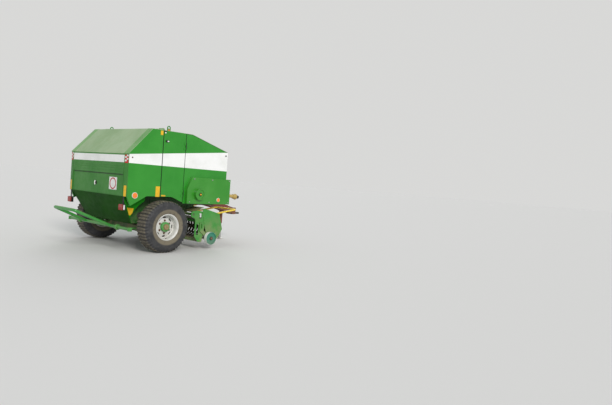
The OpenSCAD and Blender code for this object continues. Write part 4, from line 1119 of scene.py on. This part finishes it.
def make_gauge_fittings(side, tag):
    """The end of a gauge wheel's axle: washer and nut on a dark seal."""
    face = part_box(f"gauge_wheel_{tag}")[1 if side > 0 else 0].y
    centre, out = Vector((GAUGE.x, face, GAUGE.z)), Vector((0, side, 0))
    seal = Maker()
    seal.solid([(0.034, -0.001), (0.034, 0.0015), (0.03, 0.003)], centre, out, 32)
    seal.piece(f"gauge_seal_{tag}", f"gauge_{tag}", "black", sharp=35)
    nut = Maker()
    nut.bolt(centre + out * 0.003, out, 0.013, 0.009)
    nut.piece(f"gauge_nut_{tag}", f"gauge_{tag}", "nut_rust", sharp=30)


def make_side_fittings(side, tag):
    """The latch beside the tailgate's joint, the door's lock and a screw in the stripe."""
    skin = side * HALF_W
    out, ahead = (0, side, 0), (-side, 0, 0)
    latch = Maker()
    latch.box((SEAM_X + 0.04, skin, 1.802), (SEAM_X + 0.105, skin + side * 0.012, 1.832))
    latch.solid([(0.01, 0.01), (0.01, 0.019)], (SEAM_X + 0.055, skin, 1.817), out, 20)
    latch.piece(f"side_latch_{tag}", "chassis", "black", bevel=0.002)
    mark = Maker()
    mark.plate((SEAM_X + 0.084, skin + side * 0.012, 1.817), ahead, 0.03, 0.018, 0.002, 0.003)
    mark.plate((SEAM_X + 0.03, skin, 1.952), ahead, 0.026, 0.02, 0.003, 0.004)
    mark.piece(f"latch_mark_{tag}", "chassis", "white")
    stop = Maker()
    stop.box((SEAM_X + 0.016, skin, 1.964), (SEAM_X + 0.046, skin + side * 0.01, 1.982))
    stop.piece(f"hinge_stop_{tag}", "chassis", "black", bevel=0.002)
    lock = Maker()
    lock.solid([(0.014, 0), (0.014, 0.005), (0.006, 0.008)], (FRONT_X - 0.045, skin, 1.69),
               out, 24)
    lock.piece(f"door_lock_{tag}", f"{tag}_door", "black")
    screw = Maker()
    screw.bolt((REAR_X + 0.075, skin, 1.5), out, 0.008, 0.006)
    screw.piece(f"band_screw_{tag}", "tailgate", "nut_rust")


def make_cover_fittings():
    """A black seal with a yellow grease cap in the cover's boss, and the cover's screws."""
    out = (0, -1, 0)
    seal = Maker()
    seal.solid([(0.029, -0.001), (0.029, 0.003), (0.024, 0.0045)], BOSS, out, 32)
    seal.piece("boss_seal", "right_door", "black", sharp=35)
    cap = Maker()
    cap.solid([(0.0145, 0.004), (0.0145, 0.01), (0.011, 0.013)], BOSS, out, 24)
    cap.piece("boss_cap", "right_door", "sticker", sharp=35)
    bolts = Maker()
    for x, z in ((0.52, 0.835), (0.95, 0.835), (1.4, 0.835),
                 (0.6, 1.232), (1.0, 1.232), (1.4, 1.232)):
        bolts.bolt((x, -(HALF_W + COVER_D), z), out, 0.008, 0.006)
    bolts.piece("cover_bolts", "right_door", "zinc", sharp=30)


make_camera()
make_stage()
dress_nodes()
for side, tag in SIDES:
    make_tyre(side, tag)
    make_rim(side, tag)
    make_hub(side, tag)
    make_stickers(side, tag)
    make_reflectors(side, tag)
    make_crop_guard(side, tag)
    make_side_fittings(side, tag)
    make_gauge_fittings(side, tag)
make_sign()
make_lamps()
make_reel()
make_kicker()
make_shaft()
make_roof_edges()
make_rear_fittings()
make_cover_fittings()
